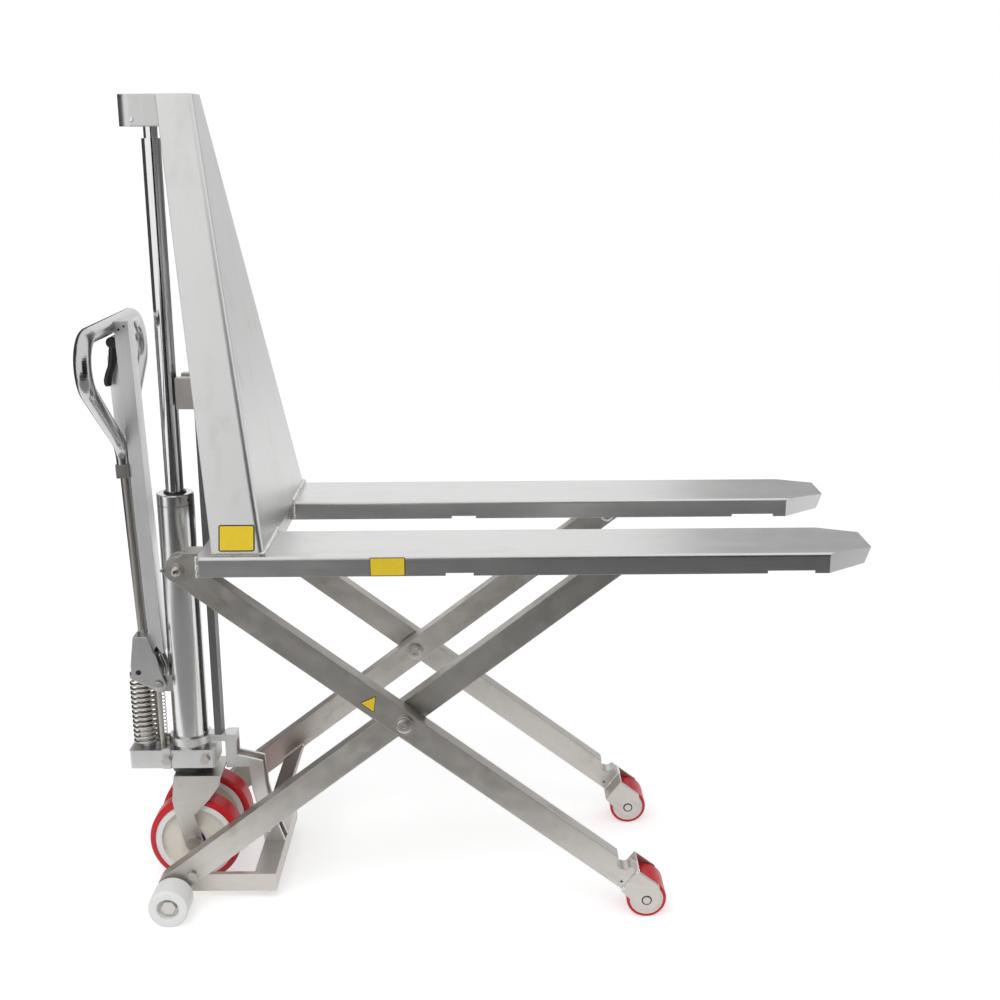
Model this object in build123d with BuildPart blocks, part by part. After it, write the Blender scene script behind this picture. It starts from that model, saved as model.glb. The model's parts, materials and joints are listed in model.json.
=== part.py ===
"""Scissor pallet truck, raised: forks, scissor arms, lift column, pump, handle and wheels.

Millimetres. +X runs along the forks to their tips, +Z is up and the floor is Z = 0.
The steering axis of the lift column stands on the origin.
"""
import os
from math import atan2, cos, pi, radians, sin, sqrt

from build123d import *

os.makedirs("parts", exist_ok=True)

# Scissor
LIFT_ANGLE = 37.3          # slope of both arms as the truck stands here
LOW_ANGLE = 0.5            # slope left when the forks are down
LONG_HALF = 575            # centre pin to the lower axle, along an arm
SHORT_HALF = 494           # centre pin to the upper pin, along an arm
AXLE_DROP = 14             # lower axles hang this far under an arm's centre line
REAR_PIN_X = 47.95         # rear pins of the forks, ahead of the steering axis
ARM_HEIGHT = 48
ARM_THICK = 33
ARM_WALL = 4
ARM_GAP = 8                # between the outer and the inner arm of a pair
BOSS_RADIUS = 16           # bushes left solid inside the arms
PIN_RADIUS = 10
RUNNING_FIT = 0.05
CLEARANCE = 0.3
CUT_PAST = 1               # cuts run this far past the face that they open

# Floor rollers and load rollers
ROLLER_RADIUS = 37.5
LOAD_ROLLER_WIDTH = 68
LOAD_TYRE_WALL = 6
FLOOR_ROLLER_WIDTH = 56
FLOOR_ROLLER_GAP = 8       # between the inner arm and its floor roller
COUNTERBORE_RADIUS = 12
COUNTERBORE_DEPTH = 15
HEX_ACROSS = 17
HEX_HEIGHT = 6
WEB_BACK = 46              # from the load axle back to the bracket's web
LOAD_AXLE_RADIUS = 8
ARM_BOLT_ALONG = 50        # bolt on the inner arm, from its rear hinge
SHEET = 4                  # folded brackets and ears

# Forks
FORK_PITCH = 372           # between the centre lines of the forks
FORK_WIDTH = 168
FORK_LENGTH = 1175
FORK_SKIRT = 36
FORK_PLATE = 5
FORK_WALL = 4
FORK_BEND = 6              # outer radius of the folded long edges
TIP_LENGTH = 80
TIP_WIDTH = 93
TIP_LIP = 12               # the front edge leans back this far
TIP_NOSE = 20              # solid nose behind the front edge
FORK_TOP_OVER_PIN = 36
FORK_START = 45            # rear end of the channel, ahead of the rear pin
TIP_DEPTH = 28             # skirt left at the front edge
NOTCH_DEPTH = 5
NOTCH_FROM_TIP = 105
NOTCH_LENGTH = 82
MID_NOTCH_LENGTH = 48
MID_NOTCH_FROM_REAR = 430
FOOT_WELD = 4              # weld across the fork's top, along the backrest's foot

# Ears at the rear pins
EAR_NOSE = 30
EAR_REACH = 96             # from the rear pin to the front end of the ear
EAR_GAP = 2                # beside the arm
EAR_HOLE_RADIUS = 2.2

# Backrest
BACK_HEIGHT = 775
BACK_BOTTOM_WIDTH = 524
BACK_TOP_WIDTH = 77
BACK_FLANGE_BOTTOM = 90
BACK_FLANGE_TOP = 64
BACK_FOOT_X = 26           # rear edge of the flange foot, ahead of the rear end of the fork
BACK_LEAN = 124            # the front panel's top stands this far behind its foot
BACK_SHEET = 5
FOOT_RAIL_DEPTH = 24

# Top bracket and guide
TOP_BLOCK_HEIGHT = 55
TOP_BLOCK_REAR = 52        # behind the rod
TOP_BLOCK_ROUND = 26
ROD_PLAY = 28              # the bracket's slot lets the rod end wander as the forks sink
ROD_GRIP = 30              # length of the rod end inside the bracket
ROD_HEADROOM = 4
SET_SCREW_RADIUS = 3.5
GUIDE_BLOCK_HEIGHT = 58
GUIDE_BLOCK_Z = 948
GUIDE_HALF_WIDTH = 38
GUIDE_REACH = 22           # rear ends of the jaws, ahead of the rod
GUIDE_PLAY = 1

# Lift column
ROD_RADIUS = 17
ROD_NECK_RADIUS = 12.5
ROD_NECK_LENGTH = 20
CYLINDER_RADIUS = 35
CYLINDER_TOP = 781
HEAD_HEIGHT = 22
ROD_INSIDE = 36            # rod left inside the cylinder, which is at its full stroke here
CYLINDER_FOOT_RADIUS = 26  # the lower end reaches down between the wheels
CYLINDER_FOOT_Z = 103
CYLINDER_BORE = 18.5
COLLAR_Z = 272
COLLAR_HEIGHT = 16
COLLAR_WALL = 6
RAIL_X = 50
RAIL_DEPTH = 14
RAIL_WIDTH = 34
RAIL_SHORT = 3             # the rail ends this far under the guide block's top

# Pump
BLOCK_TOP = 265
BLOCK_HEIGHT = 38
BLOCK_REAR = 116
BLOCK_FRONT = 52
BLOCK_WIDTH = 78
BLOCK_FILLET = 5
PLUNGER_X = -86
PLUNGER_RADIUS = 11
PLUNGER_CAP_RADIUS = 27
PLUNGER_CAP_HEIGHT = 7
BARREL_RADIUS = 15
BARREL_HEIGHT = 36
PLUNGER_SINK = 10          # plunger shank inside the barrel at rest
SPRING_RADIUS = 25.5       # middle of the wire
SPRING_WIRE = 3.1
SPRING_TURNS = 11.5
SPRING_HEIGHT = 143
SPRING_LEAD = 2            # straight lead at each end of a spring, in wire radii
THIN_SPRING_X = -50
THIN_SPRING_RADIUS = 3.5
THIN_SPRING_WIRE = 0.9
THIN_SPRING_TURNS = 16
RELEASE_ROD_X = -53
RELEASE_ROD_Y = -20
RELEASE_ROD_RADIUS = 5

# Handle
HANDLE_PIVOT_X = -49
HANDLE_PIVOT_Z = 402
HANDLE_LEAN = 2
HANDLE_LENGTH = 705        # pivot to the middle of the loop's top
LOOP_HEIGHT = 265          # foot of the loop, under its top
LOOP_HALF_WIDTH = 214      # to the corner that is then rounded off
LOOP_SHOULDER = 73         # that corner, under the loop's top
LOOP_TAPER = 40            # each side comes in this much above it
LOOP_CORNER = 55
LOOP_TUBE = 12.5
LOOP_WALL = 2.5
LOOP_LEG = 14              # from the middle to a leg of the loop at its foot
LOOP_LEG_RISE = 34
SOCKET_HEIGHT = 26
BAR_FOOT = 60              # pivot to the lower end of the bar
BAR_OVER_LOOP = 3          # the bar ends this far above the middle of the loop's top
BAR_WIDTH = 44
BAR_DEPTH = 26
BAR_WALL = 3
BAR_CUT = 16               # pointed cut-out at the bar's foot
ROCKER_TOP = 100
ROCKER_HALF_GAP = 30
ROCKER_SHEET = 6
ROCKER_PIN_RADIUS = 6
PRESS_ROLLER_RADIUS = 13
LUG_REAR = 56
LUG_HALF_WIDTH = 26
LUG_HEIGHT = 34
CONTROL_LEVER_LENGTH = 80
CONTROL_DROP = 37          # the lever's pin, under the loop's top
CONTROL_PIN_RADIUS = 3.5
CONTROL_EAR = 10           # from the bar's rear face to the lever's pin

# Steering wheels
WHEEL_RADIUS = 90
WHEEL_WIDTH = 48
WHEEL_PITCH = 108
WHEEL_AXLE_X = 12
TYRE_WALL = 12
HUB_BORE = 10
YOKE_SHEET = 6
YOKE_LEG_WIDTH = 36
YOKE_TOP_REAR = 30
YOKE_TOP_FRONT = 62
YOKE_TOP_DROP = 14
YOKE_LEG_SHIFT = 14        # the leg's upper end stands this far behind the axle
YOKE_NECK_Z = 150
YOKE_GAP = 5               # beside the tyres
YOKE_TOP_HALF = 46         # flat top, out to the sloping shoulders
YOKE_SHOULDER_DROP = 30
BEARING_HEIGHT = 14
BEARING_RADIUS = 40

# Base frame
BASE_BAR_HEIGHT = 36
BASE_BAR_THICK = 10
BASE_BOTTOM = 19
BEAM_REAR = 138
BEAM_FRONT = 180
RISER_SHEET = 6
RISER_HALF_GAP = 12
RISER_DEPTH = 28
RISER_HEAD_X = 70          # rear edge of the risers at the collar
RISER_SHOULDER_X = 114     # and under it, from there down past the yoke and the tyres
RISER_SHOULDER_Z = 218
RISER_WAIST_X = 119
RISER_WAIST_Z = 170
RISER_KNEE_X = 131
RISER_KNEE_Z = 115
RISER_STEP = 26
CROSS_BEAM_START = 206     # along the inner arm, from its rear hinge
CROSS_BEAM_WIDTH = 50
CROSS_BEAM_SHEET = 6
CROSS_BEAM_LIP = 14

SLIDE_ROLLER_RADIUS = 14
SLIDE_ROLLER_WIDTH = 24
SLIDE_ROLLER_GAP = 3
SLIDE_PIN_RADIUS = 6
SLIDE_SHOULDER_RADIUS = 10
SLIDE_CAP_RADIUS = 9
SLIDE_CAP_HEIGHT = 4
SLIDE_CHAMFER = 1.5
HINGE_SHOULDER_RADIUS = 15
ROLLER_ROUND = 3           # edges of the floor and load rollers
ARM_END = 14               # inner arm past its slide pin
TRACK_LENGTH = 330
PIVOT_HEAD_RADIUS = 18
PIVOT_HEAD_HEIGHT = 5

SIDES = {"right": -1, "left": 1}

# Places worked out from the sizes above
rise = radians(LIFT_ANGLE)
hinge_x = REAR_PIN_X - (LONG_HALF - SHORT_HALF) * cos(rise) + AXLE_DROP * sin(rise)
hinge = Vector(hinge_x, 0, ROLLER_RADIUS)
centre = hinge + Vector(LONG_HALF * cos(rise) - AXLE_DROP * sin(rise), 0,
                        LONG_HALF * sin(rise) + AXLE_DROP * cos(rise))
rear_pin = centre + Vector(-SHORT_HALF * cos(rise), 0, SHORT_HALF * sin(rise))
slide_pin = centre + Vector(SHORT_HALF * cos(rise), 0, SHORT_HALF * sin(rise))
load_axle = centre + Vector(LONG_HALF * cos(rise) - AXLE_DROP * sin(rise), 0,
                            -LONG_HALF * sin(rise) - AXLE_DROP * cos(rise))
fork_top = rear_pin.Z + FORK_TOP_OVER_PIN
fork_rear = rear_pin.X + FORK_START
fork_tip = fork_rear + FORK_LENGTH
back_foot = fork_rear + BACK_FOOT_X + BACK_FLANGE_BOTTOM
arm_pitch = ARM_THICK + ARM_GAP
outer_arm_y = (FORK_PITCH + arm_pitch) / 2
inner_arm_y = (FORK_PITCH - arm_pitch) / 2
outer_face = outer_arm_y + ARM_THICK / 2
inner_face = inner_arm_y - ARM_THICK / 2
block_bottom = BLOCK_TOP - BLOCK_HEIGHT
loop_start = HANDLE_LENGTH - LOOP_HEIGHT
bar_top = HANDLE_LENGTH + BAR_OVER_LOOP
control_pivot = HANDLE_LENGTH - CONTROL_DROP


def save(piece, label):
    """Label a finished piece and write its file."""
    piece.part.label = label
    export_step(piece.part, f"parts/{label}.step")


def side_plane(x, y, z, slope=0.0):
    """A plane seen from the truck's right side: local x runs forwards, at a slope, local y up."""
    tilt = radians(slope)
    return Plane(origin=(x, y, z), x_dir=(cos(tilt), 0, sin(tilt)), z_dir=(0, -1, 0))


def inner_plane(y):
    """Plane of an inner arm on its centre pin, local x up along the arm."""
    return side_plane(centre.X, y, centre.Z, LIFT_ANGLE)


def outer_plane(y):
    """Plane of an outer arm on its centre pin, local x down along the arm."""
    return side_plane(centre.X, y, centre.Z, -LIFT_ANGLE)


def level(z, x=0.0, y=0.0):
    """A horizontal plane of the column."""
    return Plane(origin=(x, y, z))


def handle_point(along, across):
    """Where a place on the leaning handle is, along the truck and up."""
    lean = radians(HANDLE_LEAN)
    return (HANDLE_PIVOT_X - along * sin(lean) - across * cos(lean),
            HANDLE_PIVOT_Z + along * cos(lean) - across * sin(lean))


def handle_side(along, across=0.0):
    """A plane of the leaning handle, local x up along it, local y to its rear."""
    x, z = handle_point(along, across)
    return side_plane(x, 0, z, 90 + HANDLE_LEAN)


def handle_face(across=0.0):
    """The plane of the handle's loop, local x across the truck and local y up the handle."""
    x, z = handle_point(0, across)
    lean = radians(HANDLE_LEAN)
    return Plane(origin=(x, 0, z), x_dir=(0, -1, 0), z_dir=(-cos(lean), 0, -sin(lean)))


def across_rod(piece_plane, radius, start, end, mode=Mode.ADD):
    """A round bar across a plane, from one distance along its normal to another."""
    with BuildSketch(piece_plane.offset(start)) as disc:
        Circle(radius)
    extrude(disc.sketch, amount=end - start, mode=mode)


def side_rod(plane, radius, side, inner, outer, mode=Mode.ADD):
    """A bar across the truck on one side, between two distances from its middle."""
    across_rod(plane, radius, -side * inner, -side * outer, mode)


def box_between(x0, x1, z0, z1):
    """A rectangle in a side view, given by its edges."""
    with Locations(((x0 + x1) / 2, (z0 + z1) / 2)):
        Rectangle(x1 - x0, z1 - z0)


# Outer arms, from the rear pins of the forks down to the load rollers
web_x = LONG_HALF - WEB_BACK - SHEET
BRACKET_ROOT = 70          # arm left solid behind the load roller's bracket
ARM_NOTCH_RADIUS = 15
ARM_NOTCH_BACK = 32
DRAIN_RADIUS = 2.2
DRAIN_BACK = 12
for name, side in SIDES.items():
    plane = outer_plane(side * outer_arm_y)
    with BuildPart() as outer_arm:
        with BuildSketch(plane):
            box_between(-SHORT_HALF, web_x, -ARM_HEIGHT / 2, ARM_HEIGHT / 2)
            with Locations((-SHORT_HALF, 0)):
                Circle(ARM_HEIGHT / 2)
        extrude(amount=ARM_THICK / 2, both=True)
        with BuildSketch(plane):
            box_between(-SHORT_HALF - ARM_HEIGHT, web_x - BRACKET_ROOT,
                        ARM_WALL - ARM_HEIGHT / 2, ARM_HEIGHT / 2 - ARM_WALL)
            with Locations((-SHORT_HALF, 0), (0, 0)):
                Circle(BOSS_RADIUS, mode=Mode.SUBTRACT)
        extrude(amount=ARM_THICK / 2 - ARM_WALL, both=True, mode=Mode.SUBTRACT)
        with BuildSketch(plane):
            with Locations((-SHORT_HALF, 0), (0, 0)):
                Circle(PIN_RADIUS + RUNNING_FIT)
            with Locations((web_x - ARM_NOTCH_BACK, ARM_HEIGHT / 2)):
                Circle(ARM_NOTCH_RADIUS)
            with Locations((web_x - DRAIN_BACK, DRAIN_BACK - ARM_HEIGHT / 2)):
                Circle(DRAIN_RADIUS)
        extrude(amount=ARM_THICK, both=True, mode=Mode.SUBTRACT)
    save(outer_arm, f"outer_arm_{name}")

# Folded brackets, axles and load rollers at the lower ends of the outer arms
CHEEK_TOP = 38
CHEEK_LOW = 13
CHEEK_NOSE = 26
CHEEK_ROUND = 22
roller_gap = LOAD_ROLLER_WIDTH / 2 + 1
for name, side in SIDES.items():
    axle_plane = side_plane(load_axle.X, side * FORK_PITCH / 2, load_axle.Z, -LIFT_ANGLE)
    with BuildPart() as roller_bracket:
        with BuildSketch(axle_plane):
            with BuildLine():
                Polyline((-WEB_BACK - SHEET, -CHEEK_LOW), (-WEB_BACK - SHEET, CHEEK_TOP), (0, CHEEK_TOP),
                         (CHEEK_NOSE, CHEEK_LOW), (CHEEK_ROUND, 0), (0, -CHEEK_ROUND), close=True)
            make_face()
            Circle(CHEEK_ROUND)
        extrude(amount=roller_gap + SHEET, both=True)
        with BuildSketch(axle_plane):
            box_between(-WEB_BACK, WEB_BACK, -2 * CHEEK_TOP, 2 * CHEEK_TOP)
        extrude(amount=roller_gap, both=True, mode=Mode.SUBTRACT)
        with BuildSketch(axle_plane):
            Circle(LOAD_AXLE_RADIUS + RUNNING_FIT)
        extrude(amount=FORK_WIDTH, both=True, mode=Mode.SUBTRACT)
    save(roller_bracket, f"roller_bracket_{name}")

    with BuildPart() as tyre:
        with BuildSketch(axle_plane):
            Circle(ROLLER_RADIUS)
            Circle(ROLLER_RADIUS - LOAD_TYRE_WALL, mode=Mode.SUBTRACT)
        extrude(amount=LOAD_ROLLER_WIDTH / 2, both=True)
        fillet(tyre.edges().filter_by(GeomType.CIRCLE).sort_by(SortBy.RADIUS)[-2:], ROLLER_ROUND)
    save(tyre, f"load_roller_tyre_{name}")

    with BuildPart() as core:
        with BuildSketch(axle_plane):
            Circle(ROLLER_RADIUS - LOAD_TYRE_WALL)
            Circle(LOAD_AXLE_RADIUS + RUNNING_FIT, mode=Mode.SUBTRACT)
        extrude(amount=LOAD_ROLLER_WIDTH / 2, both=True)
    save(core, f"load_roller_core_{name}")

with BuildPart() as load_axles:
    for side in SIDES.values():
        with BuildSketch(side_plane(load_axle.X, side * FORK_PITCH / 2, load_axle.Z)):
            Circle(LOAD_AXLE_RADIUS)
        extrude(amount=roller_gap + SHEET, both=True)
save(load_axles, "load_axles")

# Inner arms, from the base frame up to the slide rollers under the forks
HINGE_ROOT = 80            # arm left solid at its rear hinge
for name, side in SIDES.items():
    plane = inner_plane(side * inner_arm_y)
    with BuildPart() as inner_arm:
        with BuildSketch(plane):
            box_between(-LONG_HALF, SHORT_HALF + ARM_END, -ARM_HEIGHT / 2, ARM_HEIGHT / 2)
            with Locations((-LONG_HALF, 0), (-LONG_HALF, -AXLE_DROP)):
                Circle(ARM_HEIGHT / 2)
        extrude(amount=ARM_THICK / 2, both=True)
        with BuildSketch(plane):
            box_between(HINGE_ROOT - LONG_HALF, SHORT_HALF + ARM_HEIGHT,
                        ARM_WALL - ARM_HEIGHT / 2, ARM_HEIGHT / 2 - ARM_WALL)
            with Locations((0, 0), (SHORT_HALF, 0)):
                Circle(BOSS_RADIUS, mode=Mode.SUBTRACT)
        extrude(amount=ARM_THICK / 2 - ARM_WALL, both=True, mode=Mode.SUBTRACT)
        with BuildSketch(plane):
            with Locations((-LONG_HALF, -AXLE_DROP), (0, 0)):
                Circle(PIN_RADIUS + RUNNING_FIT)
            with Locations((SHORT_HALF, 0)):
                Circle(SLIDE_PIN_RADIUS + RUNNING_FIT)
        extrude(amount=ARM_THICK, both=True, mode=Mode.SUBTRACT)
    save(inner_arm, f"inner_arm_{name}")

# Folded cross beam welded between the inner arms
with BuildPart() as cross_beam:
    with BuildSketch(inner_plane(0)):
        beam_x = CROSS_BEAM_START - LONG_HALF
        low = -ARM_HEIGHT / 2
        box_between(beam_x, beam_x + CROSS_BEAM_WIDTH, low, low + CROSS_BEAM_SHEET)
        box_between(beam_x, beam_x + CROSS_BEAM_SHEET, low - CROSS_BEAM_LIP, low + CROSS_BEAM_SHEET)
    extrude(amount=inner_face, both=True)
save(cross_beam, "inner_cross_beam")

# Centre pins with round heads, and the spacers between the arms
with BuildPart() as centre_pins:
    for side in SIDES.values():
        plane = inner_plane(0)
        side_rod(plane, PIN_RADIUS, side, inner_face - PIVOT_HEAD_HEIGHT, outer_face + CLEARANCE)
        head_seat = outer_face + CLEARANCE
        side_rod(plane, PIVOT_HEAD_RADIUS, side, head_seat, head_seat + PIVOT_HEAD_HEIGHT)
        side_rod(plane, BOSS_RADIUS, side, inner_face - PIVOT_HEAD_HEIGHT, inner_face)
save(centre_pins, "centre_pins")

with BuildPart() as centre_spacers:
    for side in SIDES.values():
        plane = inner_plane(0)
        start = inner_arm_y + ARM_THICK / 2
        side_rod(plane, PIVOT_HEAD_RADIUS, side, start, start + ARM_GAP - CLEARANCE)
        side_rod(plane, PIN_RADIUS + RUNNING_FIT, side, start, start + ARM_GAP, Mode.SUBTRACT)
save(centre_spacers, "centre_spacers")

# Slide rollers at the upper ends of the inner arms, their pins and their tracks under the forks
slide_start = inner_face - SLIDE_ROLLER_GAP
slide_plane = side_plane(slide_pin.X, 0, slide_pin.Z)
with BuildPart() as slide_pins:
    for side in SIDES.values():
        side_rod(slide_plane, SLIDE_PIN_RADIUS, side, slide_start - SLIDE_ROLLER_WIDTH - CLEARANCE,
                 inner_face + ARM_THICK)
        side_rod(slide_plane, SLIDE_SHOULDER_RADIUS, side, slide_start + CLEARANCE, inner_face)
        side_rod(slide_plane, SLIDE_CAP_RADIUS, side, slide_start - SLIDE_ROLLER_WIDTH - SLIDE_CAP_HEIGHT,
                 slide_start - SLIDE_ROLLER_WIDTH - CLEARANCE)
save(slide_pins, "slide_pins")

track_bottom = slide_pin.Z + SLIDE_ROLLER_RADIUS + CLEARANCE
track_start = slide_pin.X - 2 * SLIDE_ROLLER_RADIUS
for name, side in SIDES.items():
    with BuildPart() as slide_roller:
        side_rod(slide_plane, SLIDE_ROLLER_RADIUS, side, slide_start - SLIDE_ROLLER_WIDTH, slide_start)
        chamfer(slide_roller.edges().filter_by(GeomType.CIRCLE), SLIDE_CHAMFER)
        side_rod(slide_plane, SLIDE_PIN_RADIUS + RUNNING_FIT, side, 0, inner_face, Mode.SUBTRACT)
    save(slide_roller, f"slide_roller_{name}")

with BuildPart() as roller_tracks:
    for side in SIDES.values():
        with BuildSketch(side_plane(0, side * (slide_start - SLIDE_ROLLER_WIDTH / 2), 0)):
            box_between(track_start, track_start + TRACK_LENGTH, track_bottom, fork_top - FORK_PLATE)
        extrude(amount=SLIDE_ROLLER_WIDTH / 2, both=True)
save(roller_tracks, "roller_tracks")

# Hinge pins of the inner arms, floor rollers on them and their hex bolts
bar_outer = inner_face - EAR_GAP
bar_inner = bar_outer - BASE_BAR_THICK
hinge_plane = side_plane(hinge.X, 0, hinge.Z)
floor_start = inner_arm_y + ARM_THICK / 2 + FLOOR_ROLLER_GAP
floor_end = floor_start + FLOOR_ROLLER_WIDTH
bolt_seat = floor_end - COUNTERBORE_DEPTH
with BuildPart() as hinge_pins:
    for side in SIDES.values():
        side_rod(hinge_plane, PIN_RADIUS, side, bar_inner, bolt_seat + CLEARANCE)
        side_rod(hinge_plane, HINGE_SHOULDER_RADIUS, side, floor_start - FLOOR_ROLLER_GAP + CLEARANCE,
                 floor_start - CLEARANCE)
        with BuildSketch(hinge_plane.offset(-side * (bolt_seat + CLEARANCE))):
            RegularPolygon(HEX_ACROSS / 2, 6, major_radius=False)
        extrude(amount=-side * HEX_HEIGHT)
save(hinge_pins, "hinge_pins")

for name, side in SIDES.items():
    with BuildPart() as floor_roller:
        side_rod(hinge_plane, ROLLER_RADIUS, side, floor_start, floor_end)
        fillet(floor_roller.edges().filter_by(GeomType.CIRCLE), ROLLER_ROUND)
        side_rod(hinge_plane, COUNTERBORE_RADIUS, side, bolt_seat, floor_end + CUT_PAST, Mode.SUBTRACT)
        side_rod(hinge_plane, PIN_RADIUS + RUNNING_FIT, side, 0, floor_end, Mode.SUBTRACT)
    save(floor_roller, f"floor_roller_{name}")

with BuildPart() as arm_bolts:
    for side in SIDES.values():
        bolt_face = inner_arm_y + ARM_THICK / 2
        with BuildSketch(inner_plane(0).offset(-side * bolt_face)):
            with Locations((ARM_BOLT_ALONG - LONG_HALF, -AXLE_DROP / 2)):
                RegularPolygon(HEX_ACROSS / 2, 6, major_radius=False)
        extrude(amount=-side * HEX_HEIGHT)
save(arm_bolts, "arm_bolts")

# Forks, inverted channels with a tapered tip
fork_low = fork_top - FORK_SKIRT
ear_half = ARM_THICK / 2 + EAR_GAP + SHEET
ear_inner = outer_arm_y - ear_half
ear_outer = outer_arm_y + ear_half
arms_inner = inner_face - EAR_GAP


def fork_plan(inset, start, end):
    """Plan of a fork, drawn in from its outer edge."""
    half = FORK_WIDTH / 2 - inset
    tip_half = TIP_WIDTH / 2 - inset
    shoulder = fork_tip - TIP_LENGTH
    Polygon((start, -half), (shoulder, -half), (end, -tip_half), (end, tip_half), (shoulder, half),
            (start, half), align=None)


for name, side in SIDES.items():
    y = side * FORK_PITCH / 2
    roof = Plane(origin=(0, y, fork_top))
    with BuildPart() as fork:
        with BuildSketch(roof):
            fork_plan(0, fork_rear, fork_tip)
        extrude(amount=-FORK_SKIRT)
        fillet(fork.edges().filter_by(Axis.X).group_by(Axis.Z)[-1], FORK_BEND)
        with BuildSketch(side_plane(0, y, 0)):
            Polygon((fork_rear, fork_top), (fork_rear, fork_low), (fork_tip - TIP_LENGTH, fork_low),
                    (fork_tip - TIP_LIP, fork_top - TIP_DEPTH), (fork_tip, fork_top), align=None)
        extrude(amount=FORK_WIDTH, both=True, mode=Mode.INTERSECT)
        with BuildSketch(roof.offset(-FORK_PLATE)):
            fork_plan(FORK_WALL, fork_rear + FORK_WALL, fork_tip - TIP_NOSE)
        extrude(amount=-FORK_SKIRT, mode=Mode.SUBTRACT)
        with BuildSketch(side_plane(0, side * (arms_inner + ear_outer) / 2, 0)):
            box_between(fork_rear - FORK_WALL, fork_rear + 2 * FORK_WALL, fork_low - FORK_WALL,
                        fork_top - FORK_PLATE)
        extrude(amount=(ear_outer - arms_inner) / 2, both=True, mode=Mode.SUBTRACT)
        with BuildSketch(side_plane(0, y, 0)):
            tip_notch = fork_tip - NOTCH_FROM_TIP
            mid_notch = fork_rear + MID_NOTCH_FROM_REAR
            notch_low, notch_high = fork_low - NOTCH_DEPTH, fork_low + NOTCH_DEPTH
            box_between(tip_notch - NOTCH_LENGTH, tip_notch, notch_low, notch_high)
            box_between(mid_notch, mid_notch + MID_NOTCH_LENGTH, notch_low, notch_high)
        extrude(amount=FORK_WIDTH, both=True, mode=Mode.SUBTRACT)
        with BuildSketch(side_plane(0, y, 0)):
            weld_base = fork_top - FORK_BEND / 4
            weld_front = back_foot + FOOT_WELD
            Polygon((back_foot, weld_base), (weld_front, weld_base), (weld_front, fork_top),
                    (back_foot, fork_top + FOOT_WELD), align=None)
        extrude(amount=(FORK_WIDTH - FORK_BEND) / 2, both=True)
    save(fork, f"fork_{name}")

# Pointed ears that hold the rear pins under the forks
EAR_TOP_START = 15
EAR_LOW = 20
EAR_HOLE_BACK = 21
ear_roof = FORK_TOP_OVER_PIN - FORK_PLATE
ear_foot = FORK_TOP_OVER_PIN - FORK_SKIRT
for name, side in SIDES.items():
    plane = side_plane(rear_pin.X, side * outer_arm_y, rear_pin.Z)
    with BuildPart() as ear:
        with BuildSketch(plane):
            Polygon((-EAR_NOSE, 0), (-EAR_NOSE / 3, -EAR_LOW), (EAR_NOSE / 3, -EAR_LOW), (FORK_START, ear_foot),
                    (EAR_REACH, ear_foot), (EAR_REACH, ear_roof), (EAR_TOP_START, ear_roof), align=None)
        extrude(amount=ear_half, both=True)
        with BuildSketch(plane):
            box_between(-2 * EAR_NOSE, 2 * EAR_REACH, -2 * EAR_LOW, ear_roof - SHEET)
        extrude(amount=ear_half - SHEET, both=True, mode=Mode.SUBTRACT)
        with BuildSketch(plane):
            Circle(PIN_RADIUS + RUNNING_FIT)
            with Locations((-EAR_HOLE_BACK, 0)):
                Circle(EAR_HOLE_RADIUS)
        extrude(amount=2 * ear_half, both=True, mode=Mode.SUBTRACT)
    save(ear, f"fork_ear_{name}")

WASHER_RADIUS = 13
WASHER_HEIGHT = 3
BUTTON_RADIUS = 9
BUTTON_HEIGHT = 4
with BuildPart() as rear_pins:
    plane = side_plane(rear_pin.X, 0, rear_pin.Z)
    for side in SIDES.values():
        side_rod(plane, PIN_RADIUS, side, ear_inner, ear_outer)
        side_rod(plane, WASHER_RADIUS, side, ear_outer, ear_outer + WASHER_HEIGHT)
        button_seat = ear_outer + WASHER_HEIGHT
        side_rod(plane, BUTTON_RADIUS, side, button_seat, button_seat + BUTTON_HEIGHT)
save(rear_pins, "rear_pins")

# Backrest, one folded sheet: a leaning panel between two flanges
back_top = back_foot - BACK_LEAN
block_top = fork_top + BACK_HEIGHT
foot_level = Plane.XY.offset(fork_top)
head_level = Plane.XY.offset(block_top)


def panel_rear(z):
    """Where the backrest panel's rear face stands at a height."""
    return back_foot - BACK_SHEET - BACK_LEAN * (z - fork_top) / BACK_HEIGHT


def back_section(front, depth, width):
    """A level cut of the backrest, from its front face backwards."""
    with Locations((front - depth / 2, 0)):
        Rectangle(depth, width)


with BuildPart() as backrest:
    with BuildSketch(foot_level):
        back_section(back_foot, BACK_FLANGE_BOTTOM, BACK_BOTTOM_WIDTH)
    with BuildSketch(head_level):
        back_section(back_top, BACK_FLANGE_TOP, BACK_TOP_WIDTH)
    loft(ruled=True)
    with BuildSketch(foot_level):
        back_section(back_foot - BACK_SHEET, 2 * BACK_FLANGE_BOTTOM, BACK_BOTTOM_WIDTH - 2 * BACK_SHEET)
    with BuildSketch(head_level):
        back_section(back_top - BACK_SHEET, 2 * BACK_FLANGE_TOP, BACK_TOP_WIDTH - 2 * BACK_SHEET)
    loft(ruled=True, mode=Mode.SUBTRACT)
save(backrest, "backrest")

FOOT_RAIL_HEIGHT = 30
with BuildPart() as foot_rail:
    with BuildSketch(side_plane(0, 0, 0)):
        box_between(back_foot - FOOT_RAIL_DEPTH, back_foot, fork_top - FOOT_RAIL_HEIGHT, fork_top)
    extrude(amount=(FORK_PITCH - FORK_WIDTH) / 2, both=True)
save(foot_rail, "foot_rail")

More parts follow.
